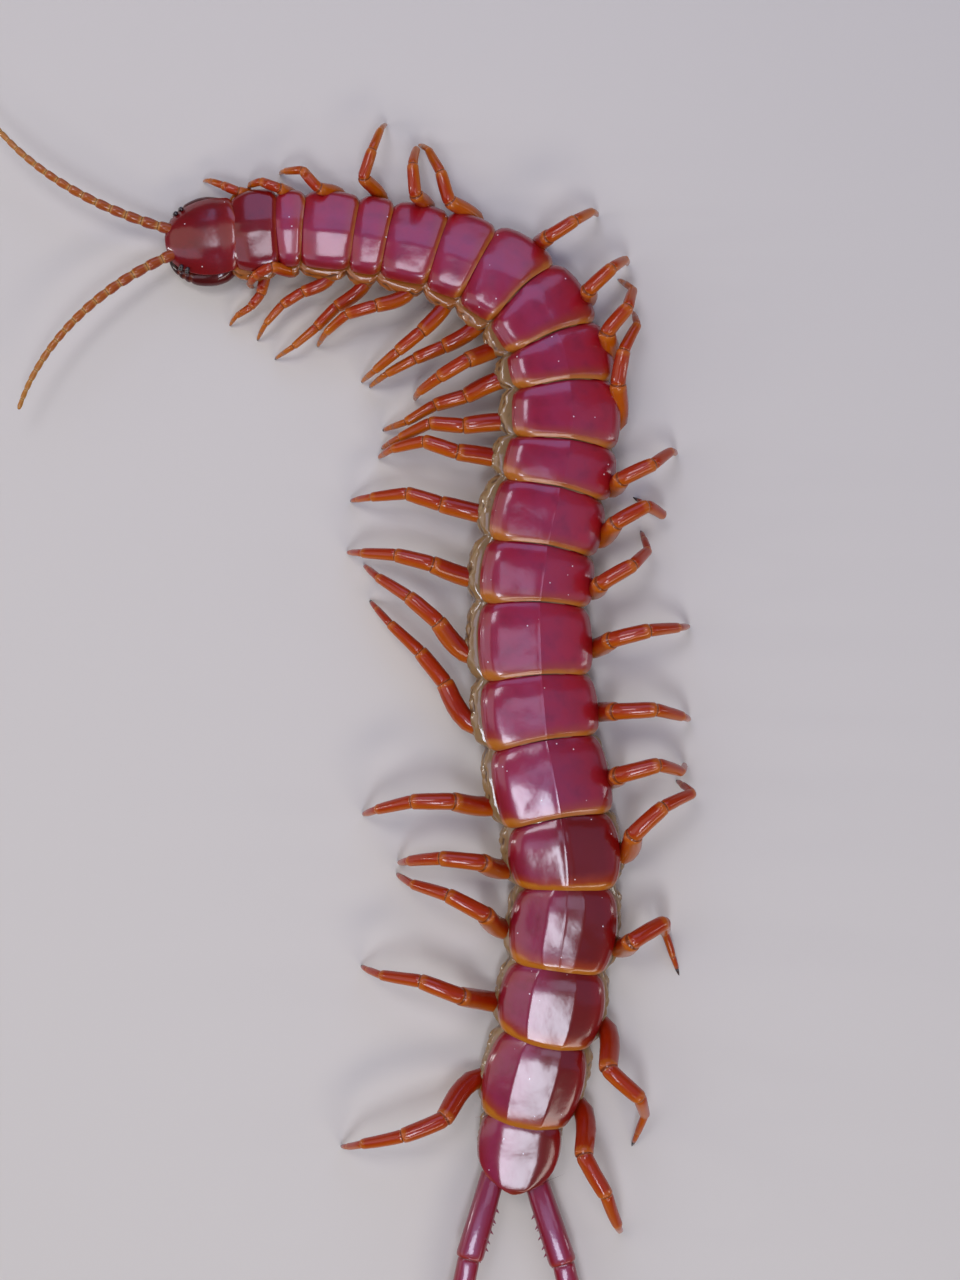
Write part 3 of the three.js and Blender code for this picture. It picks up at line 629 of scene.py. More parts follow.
def back_plate(i):
    form = plate_form(i)
    length = SEGMENTS[i][LENGTH]
    overlap = 0 if i == LAST else OVERLAP
    reach = 1 + overlap / length
    # Each of these grows or fades over a few segments, so that neighbours look alike.
    bead = ramp(BEAD_FROM - 3, BEAD_FROM, i)
    keel = KEEL_HEIGHT * ramp(9, 12, i) * (1 - ramp(16, 18, i))
    narrower = lerp(FRONT_MARGIN, 0, ramp(4, 8, i)) + HIND_MARGIN * ramp(13, 16, i)
    if i == LAST:
        narrower = LAST_MARGIN

    def place(x, y):
        u = math.copysign(table_value(ACROSS, abs(x)), x)
        share = table_value(ALONG, y)
        at = station(i, share * reach)
        rear, front = (1 - share) * reach * length, share * reach * length
        half = table_value(form.widths, share) * SEGMENTS[i][WIDTH] / 2
        half -= inset_of_corner(rear, REAR_CORNER) + inset_of_corner(front, FRONT_CORNER)
        side = half * (1 - abs(u))
        w = roof(u, form) * at.height + table_value(form.lifts, share)
        w -= REAR_LIP * (1 - ramp(0, REAR_LIP_REACH, rear)) * lerp(1, REAR_LIP_AT_SIDE, abs(u))
        w += bead * BEAD_HEIGHT * hump((side - BEAD_PLACE) / BEAD_HALF)
        w += keel * hump(u * half / KEEL_HALF)
        w += UNEVEN * noise.noise(Vector((u * half, front, 9 * i)) / UNEVEN_SIZE) * (1 - u**6)
        f = form.arch * (1 - u * u) * ramp(0.5, 1, share)
        margin = rear + narrower - MARGIN_WEDGE * ramp(0.5, 1, u) * ramp(2, 6, i)
        return on_body(at, u * half, w, f), u, margin, tone_of(i), side

    bm = sheet(PLATE_COLUMNS, PLATE_ROWS, place, PLATE_NUMBERS)
    return thicken(bm, PLATE_THICKNESS, PLATE_RIM, -UP)


back_plates = []
for i in range(LAST + 1):
    name = f"back_plate_{i + 1:02d}"
    (finish,) = from_segment(FINISHES, i)
    back_plates.append(finish_piece(back_plate(i), name, finish))
print("back plates:", len(back_plates), "faces each:", len(back_plates[5].data.polygons))

# %% [markdown]
# ## Soft skin: the finish
# Between back and belly plates the trunk is covered with arthrodial membrane, the soft, untanned cuticle
# that lets it bend. It is amber to grey, wet and slightly see-through, so light goes about a millimetre into
# it and its folds catch small, sharp highlights. The depth of each fold is kept with the mesh, and from it
# the creases get painted shade.

# %% Material of the soft skin
# The crease colour is painted shade in the bottoms of the folds.
MEMBRANE_PALE, MEMBRANE_AMBER, MEMBRANE_CREASE_SHADE = "8c6c42", "9a5408", "42200c"
SKIN_NUMBERS = ["fold", "greyness"]


def membrane_material():
    made, tree, shader = cuticle(
        "arthrodial_membrane", 0.45, coat=1.0, coat_roughness=0.09, depth_mm=1.0, depth_share=0.2
    )
    places = surface_places(tree)
    fold, greyness = (
        (add_node(tree, "ShaderNodeAttribute", attribute_name=key), "Fac") for key in SKIN_NUMBERS
    )
    cloud = add_node(tree, "ShaderNodeTexNoise", {"Scale": repeats(1.8), "Detail": 3.0}, {"Vector": places})
    grey = add_node(tree, "ShaderNodeMath", {1: 0.5}, {0: cloud, 2: greyness}, operation="MULTIPLY_ADD")
    colour = paint_over(tree, MEMBRANE_AMBER, MEMBRANE_PALE, grey, 0.3, 1.2)
    # Painted shade where a fold is low.
    colour = paint_over(tree, colour, MEMBRANE_CREASE_SHADE, fold, 0.42, 0.05, 0.9)
    tree.links.new(socket(colour.outputs, "Result"), shader.inputs["Base Color"])
    grain = add_node(tree, "ShaderNodeTexNoise", {"Scale": repeats(0.5), "Detail": 3.0}, {"Vector": places})
    wrinkled = add_node(tree, "ShaderNodeBump", {"Strength": 0.6, "Distance": 0.05 * MM}, {"Height": grain})
    tree.links.new(wrinkled.outputs["Normal"], shader.inputs["Normal"])
    return made


arthrodial_membrane = membrane_material()
print("soft skin material nodes:", len(arthrodial_membrane.node_tree.nodes))

# %% [markdown]
# ## Soft skin: the shape
# One skin runs from the neck to the tail, so no seam shows where the solids of the trunk meet. It is a tube
# whose outline tucks in under the back plates, stands out on the flanks, more on the side that the animal has
# raised, and is flat below. The flank is thrown into folds: two or three that run with the body like ropes,
# pinched at the joint between two segments, and a swelling round the root of each leg. Cell noise gives the
# small pillows between the creases, which a plain wave would make too even.

# %% Skin of the trunk
# Share of the way from ridge to belly, with the outline's place as shares of half width and height.
SKIN_OUT = [
    (0, 0), (0.2, 0.5), (0.36, 0.82), (0.42, 0.91), (0.48, 0.96), (0.56, 1.02), (0.64, 1.0), (0.72, 0.9),
    (0.8, 0.72), (0.86, 0.56), (1, 0),
]
SKIN_RISE = [
    (0, 0.36), (0.2, 0.32), (0.36, 0.09), (0.42, 0.03), (0.48, 0.0), (0.56, -0.1), (0.64, -0.21),
    (0.72, -0.32), (0.8, -0.42), (0.86, -0.48), (1, -0.49),
]
AROUND = [(0, 0), (0.14, 0.38), (0.84, 0.84), (1, 1)]
BODY_WIDTH = [(0, 0.93), (0.2, 1.0), (0.55, 1.03), (0.85, 1.0), (1, 0.93)]
TAIL_WIDTH = [(0, 0.86), (0.3, 0.95), (0.6, 0.93), (0.85, 0.74), (1, 0.4)]
SKIN_SIDES = 176
RING_SPACING = 0.5
RAISED_FLANK, FULL_ROLL = 0.1, 16
# Rope-like folds: height, number, the share of the outline that they fill, and how they wander.
FOLD_HEIGHT, LONG_FOLDS, FOLD_SPAN, FOLD_WANDER, WANDER_SCALE = 0.62, 2.6, 0.4, 0.8, 0.3
PILLOW, PILLOW_SLOPE, PILLOW_FLATNESS = 2.3, 2.2, 1.5
JOINT_PINCH, JOINT_REACH = 0.3, 0.13
# The flank begins, is full, begins to fade and ends at these shares of the outline.
FLANK_FROM, FLANK_FULL, FLANK_FADES, FLANK_TO = 0.4, 0.5, 0.76, 0.84
SOCKET_SWELL, SOCKET_REACH, SOCKET_GROWTH = 0.4, 2.3, 0.22
# The skin turns from amber to grey between these segments.
GREY_FROM, GREY_TO = 3, 10
TAIL_CAP = [(0.3, 0.8), (0.6, 0.6), (0.8, 0.3)]
# Where a leg grows out of the flank: share of the segment, of the half width and of the height.
ROOT_ALONG, ROOT_OUT, ROOT_UP = 0.7, 0.8, -0.26

skin_rings = []
for i in range(LAST + 1):
    count = round(SEGMENTS[i][LENGTH] / RING_SPACING)
    skin_rings += [(i, k / count, 1.0, 0.0) for k in range(count)]
skin_rings.append((LAST, 1.0, 1.0, 0.0))
skin_rings += [(LAST, 1.0, shrink, -back) for back, shrink in TAIL_CAP]


@lru_cache(maxsize=None)
def leg_root(i, side):
    at = station(i, ROOT_ALONG)
    return on_body(at, side * ROOT_OUT * at.half, ROOT_UP * at.height)


def skin_place(ring, turn):
    i, t, shrink, back = skin_rings[ring]
    at = station(i, t)
    side = 1 if turn < 0.5 else -1
    s = table_value(AROUND, 1 - abs(2 * turn - 1))
    flank = ramp(FLANK_FROM, FLANK_FULL, s) * (1 - ramp(FLANK_FADES, FLANK_TO, s))
    greyness = ramp(GREY_FROM, GREY_TO, i)
    width = table_value(TAIL_WIDTH if i == LAST else BODY_WIDTH, t)
    raised = RAISED_FLANK * (at.roll / FULL_ROLL) * lerp(0.7, 1, math.sin(math.pi * t)) * flank * (side > 0)
    u = side * table_value(SKIN_OUT, s) * (width + raised) * at.half * shrink
    w = table_value(SKIN_RISE, s) * at.height * shrink
    point = on_body(at, u, w, back)
    if flank == 0:
        return point, 0.5, greyness
    wander = FOLD_WANDER * noise.noise(point * WANDER_SCALE)
    long_fold = abs(math.sin(math.pi * (LONG_FOLDS * (s - FLANK_FROM) / FOLD_SPAN + wander)))
    near, second = noise.voronoi(Vector((point.x, point.y, point.z * PILLOW_FLATNESS)) / PILLOW)[0][:2]
    pillow = min((second - near) * PILLOW_SLOPE, 1)
    joint = 1 - ramp(0, JOINT_REACH, min(t, 1 - t))
    height = (0.5 * long_fold + 0.5 * pillow) * (1 - 0.5 * joint)
    if i < LAST:
        away = (point - leg_root(i, side)).length
        swell = SOCKET_SWELL * max(1 - (away / (SOCKET_REACH + at.half * SOCKET_GROWTH)) ** 2, 0)
    else:
        swell = 0
    out = (at.left * u + at.up * w).normalized()
    push = flank * (FOLD_HEIGHT * (height - 0.5) - JOINT_PINCH * joint + swell)
    return point + out * push, lerp(0.5, height, flank), greyness


skin = finish_piece(
    tube(SKIN_SIDES, len(skin_rings), skin_place, SKIN_NUMBERS),
    "trunk_skin",
    arthrodial_membrane,
    replaced=[f"trunk_{n}" for n in range(1, 8)],
)
print("rings of skin:", len(skin_rings), "faces:", len(skin.data.polygons))

# %% [markdown]
# ## Belly plates
# Under each segment lies one flat plate, thinner and paler than those of the back, with two long grooves. It
# is the same sheet laid on from below, in amber cuticle.

# %% Belly plates
BELLY_HALF, LAST_BELLY, BELLY_SINK, BELLY_CORNER = 0.56, 0.8, 0.03, 1.2
BELLY_FROM, BELLY_TO = 0.05, 0.97
BELLY_THICKNESS, BELLY_RIM = 0.25, 0.07
# The two grooves: place across, depth and half width.
BELLY_GROOVE, GROOVE_DEPTH, GROOVE_HALF = 0.38, 0.09, 0.06
BELLY_COLUMNS, BELLY_ROWS = 40, 16
BELLY_WIDTH = [(0, 0.8), (0.15, 0.94), (0.5, 1.0), (0.85, 0.95), (1, 0.84)]

amber_cuticle = plate_material(
    "amber_cuticle", "9a5418", "8a4a1c", "924c1a", "9a5418", "6e350f", "9a5a1c", "a4651c", "ad7a34", "ffffff"
)


def belly_plate(i):
    length = SEGMENTS[i][LENGTH]

    def place(x, y):
        at = station(i, lerp(BELLY_FROM, BELLY_TO, y))
        rear, front = (1 - y) * length, y * length
        half = table_value(BELLY_WIDTH, y) * BELLY_HALF * at.half * (LAST_BELLY if i == LAST else 1)
        half -= inset_of_corner(rear, BELLY_CORNER) + inset_of_corner(front, BELLY_CORNER)
        groove = GROOVE_DEPTH * hump((abs(x) - BELLY_GROOVE) / GROOVE_HALF)
        w = (-0.5 - BELLY_SINK * (1 - x**6)) * at.height + groove
        return on_body(at, x * half, w), x, rear, tone_of(i), half * (1 - abs(x))

    bm = sheet(BELLY_COLUMNS, BELLY_ROWS, place, PLATE_NUMBERS)
    return thicken(bm, BELLY_THICKNESS, BELLY_RIM, UP)


for i in range(LAST + 1):
    finish_piece(belly_plate(i), f"belly_plate_{i + 1:02d}", amber_cuticle)
print("belly plates:", LAST + 1)

# %% [markdown]
# ## Legs: the finish
# The legs are thin tubes of cuticle, deep orange-red on top and in front, and amber behind: partly their own
# colour and partly painted glow of the light that comes through them. Near the head their feet turn amber
# too.
# At every joint the cuticle ends in a thin dark line, with a paler ring before it where the wall is thinnest.
# How far along the leg a point lies, how near a joint, which way it faces and how amber its foot is are kept
# with the mesh.

# %% Material of the legs
LEG_ROOT_RED, LEG_ORANGE, LEG_AMBER = "901a00", "a02a00", "b46400"
# The hind colour is partly painted glow of light through the leg.
LEG_HIND, LEG_PALE, LEG_LINE = "c06200", "c06a18", "541206"
# What each vertex of a limb keeps.
LIMB_NUMBERS = ["limb_share", "joint", "hind", "amber"]


def leg_material(name, root, middle, tip, hind, pale, roughness=0.36, gloss=0.12, tint="ffffff"):
    """Cuticle of a limb with the colours of its root, middle, tip, hind face and joint rings."""
    made, tree, shader = cuticle(
        name, roughness, coat=0.6, coat_roughness=0.08, depth_mm=0.4, depth_share=0.1, gloss=gloss, tint=tint
    )
    places = surface_places(tree)
    share, joint, hindness, amber = (
        (add_node(tree, "ShaderNodeAttribute", attribute_name=key), "Fac") for key in LIMB_NUMBERS
    )
    cloud = add_node(tree, "ShaderNodeTexNoise", {"Scale": repeats(2.5), "Detail": 3.0}, {"Vector": places})
    moved = add_node(tree, "ShaderNodeMath", {1: 0.35}, {0: cloud, 2: share}, operation="MULTIPLY_ADD")
    # From root to foot, then the hind face, and at each joint its pale ring and its dark line.
    colour = paint_over(tree, root, middle, moved, 0.25, 0.6)
    colour = paint_over(tree, colour, tip, moved, 0.6, 1.1, through=amber)
    # The hind face: partly its own amber, partly painted glow of light through the leg.
    colour = paint_over(tree, colour, hind, hindness, -0.1, 0.95, 0.8)
    colour = paint_over(tree, colour, pale, joint, 0.05, 0.5, 0.55)
    colour = paint_over(tree, colour, LEG_LINE, joint, 0.6, 0.85, 0.7)
    tree.links.new(socket(colour.outputs, "Result"), shader.inputs["Base Color"])
    grain = add_node(tree, "ShaderNodeTexNoise", {"Scale": repeats(0.8), "Detail": 3.0}, {"Vector": places})
    waved = add_node(tree, "ShaderNodeBump", {"Strength": 0.4, "Distance": 0.04 * MM}, {"Height": grain})
    tree.links.new(waved.outputs["Normal"], shader.inputs["Normal"])
    tree.links.new(waved.outputs["Normal"], shader.inputs["Coat Normal"])
    return made


def chitin_material(name, dark, worn, roughness, size_mm):
    """Hard, nearly black chitin, a little browner where it is worn thin."""
    made, tree, shader = cuticle(name, roughness, coat=1.0, coat_roughness=0.08)
    places = surface_places(tree)
    wear = add_node(
        tree, "ShaderNodeTexNoise", {"Scale": repeats(size_mm), "Detail": 2.0}, {"Vector": places}
    )
    colour = paint_over(tree, dark, worn, wear, 0.4, 0.7)
    tree.links.new(socket(colour.outputs, "Result"), shader.inputs["Base Color"])
    return made


leg_cuticle = leg_material("orange_cuticle", LEG_ROOT_RED, LEG_ORANGE, LEG_AMBER, LEG_HIND, LEG_PALE)
claw_chitin = chitin_material("black_chitin", "1c0a06", "3a160a", 0.3, 0.8)
print("leg material nodes:", len(leg_cuticle.node_tree.nodes))

# %% [markdown]
# ## Legs: how they stand
# A leg is a chain of six parts: upper thigh, thigh, shin, two foot joints and a claw. Each part's rise lies
# between that of a stretched leg and that of one arched up, and the whole leg is tilted until its claw is on
# the floor. Two nested bisections find the arch and the tilt that put the claw at the distance seen from
# above. The table has one row for each leg from the first to the twentieth, read from the photograph where it
# shows the leg.

# %% Legs of the table
LEG_SHARES = [0.325, 0.205, 0.21, 0.145, 0.085, 0.03]
LEG_LENGTHS = [(1, 16.5), (2, 19), (3, 24), (4, 28.5), (9, 32), (12, 35), (15, 39), (20, 43)]
LEG_RADII = [(1, 1.15), (3, 1.3), (5, 1.5), (9, 1.8), (12, 1.85), (16, 2.0), (20, 2.0)]
STRETCHED = [12, 0, -8, -48, -60, -70]
ARCHED = [68, 5, -50, -78, -84, -88]
FOOT = [0, 0, 0, 1, 1, 1]
FLAT_FOOT = -8
TOE_SINK = 0.2
ARCH_LIMITS, TILT_LIMITS = (-0.4, 1.6), (-60, 90)
# Bearing of the claw from the root, forward of straight out, in degrees, and its distance in millimetres, how
# much further forward the thigh, the shin and the foot head than the upper thigh, and how flat the foot lies.
LEFT_LEGS = [
    (40, 13.5, 30, 50, 40), (68, 9.5, -12, -20, -20), (42, 21.1, 7, -9, -12), (39, 25.6, 0, 5, 22),
    (46, 22.9, 20, -2, -4), (26, 24.4, 14, 16, 27), (26, 26.8, 14, 9, 9), (0, 20.7, -2, -2, -2),
    (-10, 28.6, 5, -10, 8), (-11, 27.8, 10, -20, -16), (-11, 26.6, 10, -20, -29),
    (-5, 29.9, 4, -19, -17), (6, 28.8, -2, -12, -9), (40, 30.8, 4, -4, 4), (53, 35.5, 7, -1, 3),
    (7, 29.3, -6, -21, -33), (8, 24.7, -10, -27, -46), (16, 27.4, -8, -24, -21), (3, 30.8, 2, -16, -16),
    (-40, 34.1, 12, 17, 3),
]
# The second right leg stands 0.3 mm further out than in the solids, which keeps it clear of the first.
RIGHT_LEGS = [
    (62, 13, 0, 0, 0), (70, 9.8, 17, 37, 50), (68, 14.6, -22, 20, 0), (8, 18.5, -50, -50, -50),
    (21, 15, -28, -42, -30), (54, 22, -30, -20, -7), (-23, 16.8, 0, 6, -7), (11, 14.2, 2, 0, -15),
    (66, 18.7, -26, -3, 52, 0.3), (77, 24.9, 8, -10, 24), (36, 18, 18, 30, 0),
    (52, 13.5, 5, -46, 120, 0.6), (48, 18.3, 18, 30, 88, 0.3), (9, 23.9, -4, -13, -12),
    (-10, 22.1, -6, -24, -32), (-1, 18.7, -16, -50, 0), (41, 21, -10, -34, 88),
    (-14, 16.9, -2, 78, -98, 0.9), (-61, 28, 26, -4, -36, 0.6), (-53, 29.7, 12, 1, -1),
]
BISECTIONS = 34
Link = namedtuple("Link", "length turn rise")


def straight_value(table, x):
    """Value at x of straight lines through (x, value) pairs."""
    k = next((n for n in range(1, len(table)) if table[n][0] >= x), len(table) - 1)
    (x0, y0), (x1, y1) = table[k - 1], table[k]
    return lerp(y0, y1, (x - x0) / (x1 - x0))


def solve(measure, low, high):
    """The value between low and high at which a falling measure meets zero."""
    for _ in range(BISECTIONS):
        middle = (low + high) / 2
        low, high = (middle, high) if measure(middle) > 0 else (low, middle)
    return (low + high) / 2


def chain(start, links):
    points = [start.copy()]
    for link in links:
        rise = math.radians(link.rise)
        step = plan_vector(link.turn) * math.cos(rise) + UP * math.sin(rise)
        points.append(points[-1] + step * link.length)
    return points


def standing_leg(root, lengths, turns, distance, flat):
    """Links of a leg that arches as much as it must for its claw to stand on the floor at this distance."""

    def rises(arch, tilt):
        raised = [lerp(a, b, arch) - tilt for a, b in zip(STRETCHED, ARCHED)]
        return [lerp(rise, FLAT_FOOT, foot * flat) for rise, foot in zip(raised, FOOT)]

    def claw_height(arch, tilt):
        steps = zip(lengths, rises(arch, tilt))
        return root.z + TOE_SINK + sum(size * math.sin(math.radians(rise)) for size, rise in steps)

    def reach(arch):
        tilt = solve(lambda value: claw_height(arch, value), *TILT_LIMITS)
        levels = [size * math.cos(math.radians(rise)) for size, rise in zip(lengths, rises(arch, tilt))]
        return sum((plan_vector(turn) * level for turn, level in zip(turns, levels)), Vector()).length

    arch = solve(lambda value: reach(value) - distance, *ARCH_LIMITS)
    tilt = solve(lambda value: claw_height(arch, value), *TILT_LIMITS)
    return [Link(*parts) for parts in zip(lengths, turns, rises(arch, tilt))]


def heading_of(vector):
    return math.degrees(math.atan2(vector.y, vector.x))


def leg_line(i, side, row):
    """Joints of a walking leg, from its root to the tip of its claw."""
    bearing, distance, thigh, shin, foot, *flat = row
    ahead = heading_of(station(i, ROOT_ALONG).forward)
    size = straight_value(LEG_LENGTHS, i + 1)
    root = leg_root(i, side)
    turns = [ahead + side * (90 - bent) for bent in (0, thigh, shin, foot, foot, foot)]
    links = standing_leg(root, [share * size for share in LEG_SHARES], turns, distance, *(flat or [0]))
    off = ahead + side * (90 - bearing) - heading_of(chain(root, links)[-1] - root)
    return chain(root, [Link(link.length, link.turn + off, link.rise) for link in links])


leg_lines = {
    (side, i): leg_line(i, side, rows[i])
    for side, rows in ((1, LEFT_LEGS), (-1, RIGHT_LEGS))
    for i in range(LAST)
}
highest = max(joint.z for line in leg_lines.values() for joint in line)
print("legs:", len(leg_lines), "highest knee in mm:", round(highest, 1))

# %% [markdown]
# ## Limbs: the shape
# Each part of a limb is a sleeve: it begins a little narrower, swells smoothly and ends in a rounded lip with
# a small pale knob on top, on which the next sleeve hinges. A tube is laid along a path, with its rings set
# close together at each joint, and every corner of the path is rounded by a short curve so that the tube
# doesn't kink.

# %% Limb builder
Ring = namedtuple("Ring", "centre side top radius share joint knob")
# Distance from a joint in mm, with the sleeve's thickness, the nearness of the joint and of its knob.
SLEEVE_START = [(0.0, 0.88, 1.0, 0), (0.1, 0.9, 0.8, 0), (0.28, 0.945, 0.0, 0), (0.7, 0.975, 0, 0)]
SLEEVE_MIDDLE = [(0.25, 0.99), (0.42, 1.0), (0.58, 1.015), (0.74, 1.02)]
SLEEVE_END = [
    (1.3, 1.015, 0.1, 0), (0.85, 1.01, 0.3, 0), (0.6, 1.005, 0.45, 0.6), (0.4, 0.995, 0.5, 1.0),
    (0.2, 0.97, 0.5, 0.6), (0.06, 0.91, 0.9, 0),
]
FULL_SLEEVE = 5
BEND_REACH = 0.9
BOW = 0.022
# A knob sits on top, a quarter turn from the side.
KNOB_TURN, KNOB_HEIGHT, KNOB_HALF = 0.25, 0.13, 0.085
CROWN_ROUNDNESS = 0.25
LIMB_UNEVEN, LIMB_UNEVEN_SCALE = 0.03, 0.5
LIMB_SIDES = 24
FLOOR_SKIM = 0.03


def sleeve_stops(length, last):
    """Distances along one part of a limb, with thickness, joint and knob."""
    scale = min(1, length / FULL_SLEEVE)
    stops = [(d * scale, *numbers) for d, *numbers in SLEEVE_START]
    stops += [(share * length, thick, 0, 0) for share, thick in SLEEVE_MIDDLE]
    ends = [(length - d * scale, *numbers) for d, *numbers in SLEEVE_END]
    return stops + (ends[:2] if last else ends)


def on_path(path, distances, at):
    """Centre and direction at this distance along a path, with its corners rounded off."""
    n = max(k for k in range(len(path) - 1) if k == 0 or distances[k] <= at)
    direction = (path[n + 1] - path[n]).normalized()
    for corner in (n, n + 1):
        if 0 < corner < len(path) - 1:
            before, after = path[corner] - path[corner - 1], path[corner + 1] - path[corner]
            reach = min(BEND_REACH, before.length / 2, after.length / 2)
            s = (at - distances[corner] + reach) / (2 * reach)
            if 0 < s < 1:
                a = path[corner] - before.normalized() * reach
                b = path[corner] + after.normalized() * reach
                centre = a * (1 - s) ** 2 + path[corner] * (2 * s * (1 - s)) + b * s * s
                return centre, (before.normalized() * (1 - s) + after.normalized() * s).normalized()
    return path[n] + direction * (at - distances[n]), direction


def limb_rings(path, joints, thickness, radius):
    """Rings of a limb whose joints are those points of the path; thickness is each part's start and end."""
    distances = [0.0]
    for a, b in zip(path, path[1:]):
        distances.append(distances[-1] + (b - a).length)
    rings = []
    side = UP.cross(path[1] - path[0]).normalized()
    for k, (thick_start, thick_end) in enumerate(thickness):
        begin, end = distances[joints[k]], distances[joints[k + 1]]
        length = end - begin
        for d, swell, joint, knob in sleeve_stops(length, k == len(thickness) - 1):
            centre, direction = on_path(path, distances, begin + d)
            side = (side - direction * side.dot(direction)).normalized()
            top = direction.cross(side)
            share = d / length
            centre += top * (BOW * length * 4 * share * (1 - share))
            size = radius * lerp(thick_start, thick_end, share) * swell
            rings.append(Ring(centre, side, top, size, (begin + d) / distances[-1], joint, knob))
    return rings


def limb(rings, forward, sides=LIMB_SIDES, flat=1.0, crown=1.0, amber=1.0):
    """A tube through the rings. flat squeezes its height, and crown levels its top off at that share."""

    def place(n, turn):
        ring = rings[n]
        angle = 2 * math.pi * turn
        height = math.sin(angle)
        height = min(height, lerp(crown, height, CROWN_ROUNDNESS))
        out = ring.side * math.cos(angle) + ring.top * (height * flat)
        uneven = 1 + LIMB_UNEVEN * noise.noise(ring.centre * LIMB_UNEVEN_SCALE + out)
        uneven += KNOB_HEIGHT * ring.knob * hump((turn - KNOB_TURN) / KNOB_HALF)
        point = ring.centre + out * (ring.radius * uneven)
        point.z = max(point.z, FLOOR_SKIM)
        return point, ring.share, ring.joint, -out.dot(forward), amber

    return tube(sides, len(rings), place, LIMB_NUMBERS)


print("stops along one sleeve:", len(sleeve_stops(8, False)))

# %% [markdown]
# ## Walking legs
# The upper thigh springs from the side of the trunk under the plate's edge, so its path is curved outwards
# before it rises. Each claw is a piece of its own in black chitin, set into the end of the foot.

# %% Walking legs
LEG_THICKNESS = [(1.08, 0.94), (0.88, 0.77), (0.7, 0.52), (0.42, 0.34), (0.32, 0.2)]
ROOT_OUTSET, ROOT_DROP = 0.93, -0.27
# How far the upper thigh curves out, less on the short first legs, which stand close together.
SPRING = [(1, 0.05), (3, 0.34), (20, 0.34)]
SPRING_STEPS = 4
AMBER_FROM, AMBER_TO = 5, 12
CLAW_RINGS = [(0, 1.0), (0.3, 0.86), (0.6, 0.62), (0.85, 0.36), (1.0, 0.08)]
CLAW_ROOT, CLAW_SINK, CLAW_DROOP, CLAW_SIDES = 0.19, 0.35, 0.18, 10
SIDE_NAMES = {1: "left", -1: "right"}


def sprung_path(i, side, line):
    """The leg's path: the upper thigh curves out from under the back plate to the first joint."""
    at = station(i, ROOT_ALONG)
    root = on_body(at, side * ROOT_OUTSET * at.half, ROOT_DROP * at.height)
    knee = line[1]
    spring = straight_value(SPRING, i + 1)
    control = root + at.left * (side * spring * (knee - root).length)
    steps = [n / SPRING_STEPS for n in range(SPRING_STEPS)]
    curve = [root * (1 - s) ** 2 + control * (2 * s * (1 - s)) + knee * s * s for s in steps]
    return [*curve, *line[1:-1]]


def walking_leg(i, side):
    radius = straight_value(LEG_RADII, i + 1)
    path = sprung_path(i, side, leg_lines[side, i])
    joints = [0, *range(SPRING_STEPS, len(path))]
    rings = limb_rings(path, joints, LEG_THICKNESS, radius)
    amber = 1 - ramp(AMBER_FROM, AMBER_TO, i)
    return limb(rings, station(i, ROOT_ALONG).forward, amber=amber)


def claw(line, size):
    """A short hooked claw along the last part of a limb."""
    root, tip = line[-2], line[-1]
    direction = (tip - root).normalized()
    across = UP.cross(direction).normalized()
    length = (tip - root).length + CLAW_SINK

    def place(n, turn):
        share, thick = CLAW_RINGS[n]
        centre = root + direction * (share * length - CLAW_SINK) - UP * (CLAW_DROOP * share * share)
        angle = 2 * math.pi * turn
        out = across * math.cos(angle) + direction.cross(across) * math.sin(angle)
        point = centre + out * (size * thick)
        point.z = max(point.z, FLOOR_SKIM)
        return (point,)

    return tube(CLAW_SIDES, len(CLAW_RINGS), place, [])


for (side, i), line in leg_lines.items():
    tag = f"{SIDE_NAMES[side]}_{i + 1:02d}"
    replaced = [f"leg_{tag}"]
    claw_size = CLAW_ROOT * straight_value(LEG_RADII, i + 1)
    finish_piece(walking_leg(i, side), f"walking_leg_{tag}", leg_cuticle, replaced)
    finish_piece(claw(line, claw_size), f"walking_claw_{tag}", claw_chitin)
print("walking legs:", len(leg_lines))

# %% [markdown]
# ## The last pair of legs
# The last legs trail behind and don't walk. They are thicker, of the same dark red as the back and flattened
# on top, and the upper thigh is armed: short spines along the inner edge of its upper face, a few more below
# them, and a stout process at its far inner corner. Each spine is a cone with its root sunk in the thigh.

# %% Last legs
LAST_LEG_LENGTHS = [17.4, 13.8, 10.8, 7.4, 4.9, 1.8]
LAST_LEG_RISE = [10, 2, -8, -13, -16, -30]
LAST_LEG_INWARD = [0, 4, 8, 12, 15, 18]
LAST_LEG_SPREAD = {1: 8, -1: 27}
LAST_LEG_TILTS = (-30, 30)
LAST_LEG_RADIUS = 2.7
LAST_LEG_ALONG, LAST_LEG_OUT, LAST_LEG_UP = 0.9, 4.3, -0.02
LAST_LEG_THICKNESS = [(0.94, 1.03), (0.86, 0.84), (0.74, 0.67), (0.58, 0.5), (0.44, 0.36)]
LAST_LEG_CROWN, LAST_LEG_SIDES = 0.72, 32
# Taken for their front, this puts their hind colour on top, fainter than on the walking legs.
LAST_LEG_FRONT = UP * -0.6
LAST_CLAW_ROOT = 0.7
# Spines: share along the upper thigh, and height over its inner face.
THIGH_SPINES = [
    (0.38, 0.2), (0.5, 0.3), (0.63, 0.15), (0.74, 0.3), (0.83, 0.2), (0.44, 1.0), (0.57, 0.9), (0.69, 1.1),
    (0.56, -0.4),
]
SPINE_RADIUS, SPINE_LENGTH, SPINE_SIDES = 0.52, 1.7, 12
SPINE_OUT, SPINE_LEAN, SPINE_SUNK = 0.9, 0.6, 0.35
# A spine's tip and the bevel of its lips, as shares of its radius.
SPINE_TIP, SPINE_LIP = 0.08, 0.05
PROCESS_RADIUS, PROCESS_LENGTH = 0.75, 2.3
# The process: share along the thigh, then inward and up, and how far it leans inward and up.
PROCESS_ALONG, PROCESS_IN, PROCESS_UP = 0.93, 0.6, 0.3
PROCESS_LEAN_IN, PROCESS_LEAN_UP = 0.6, 0.15


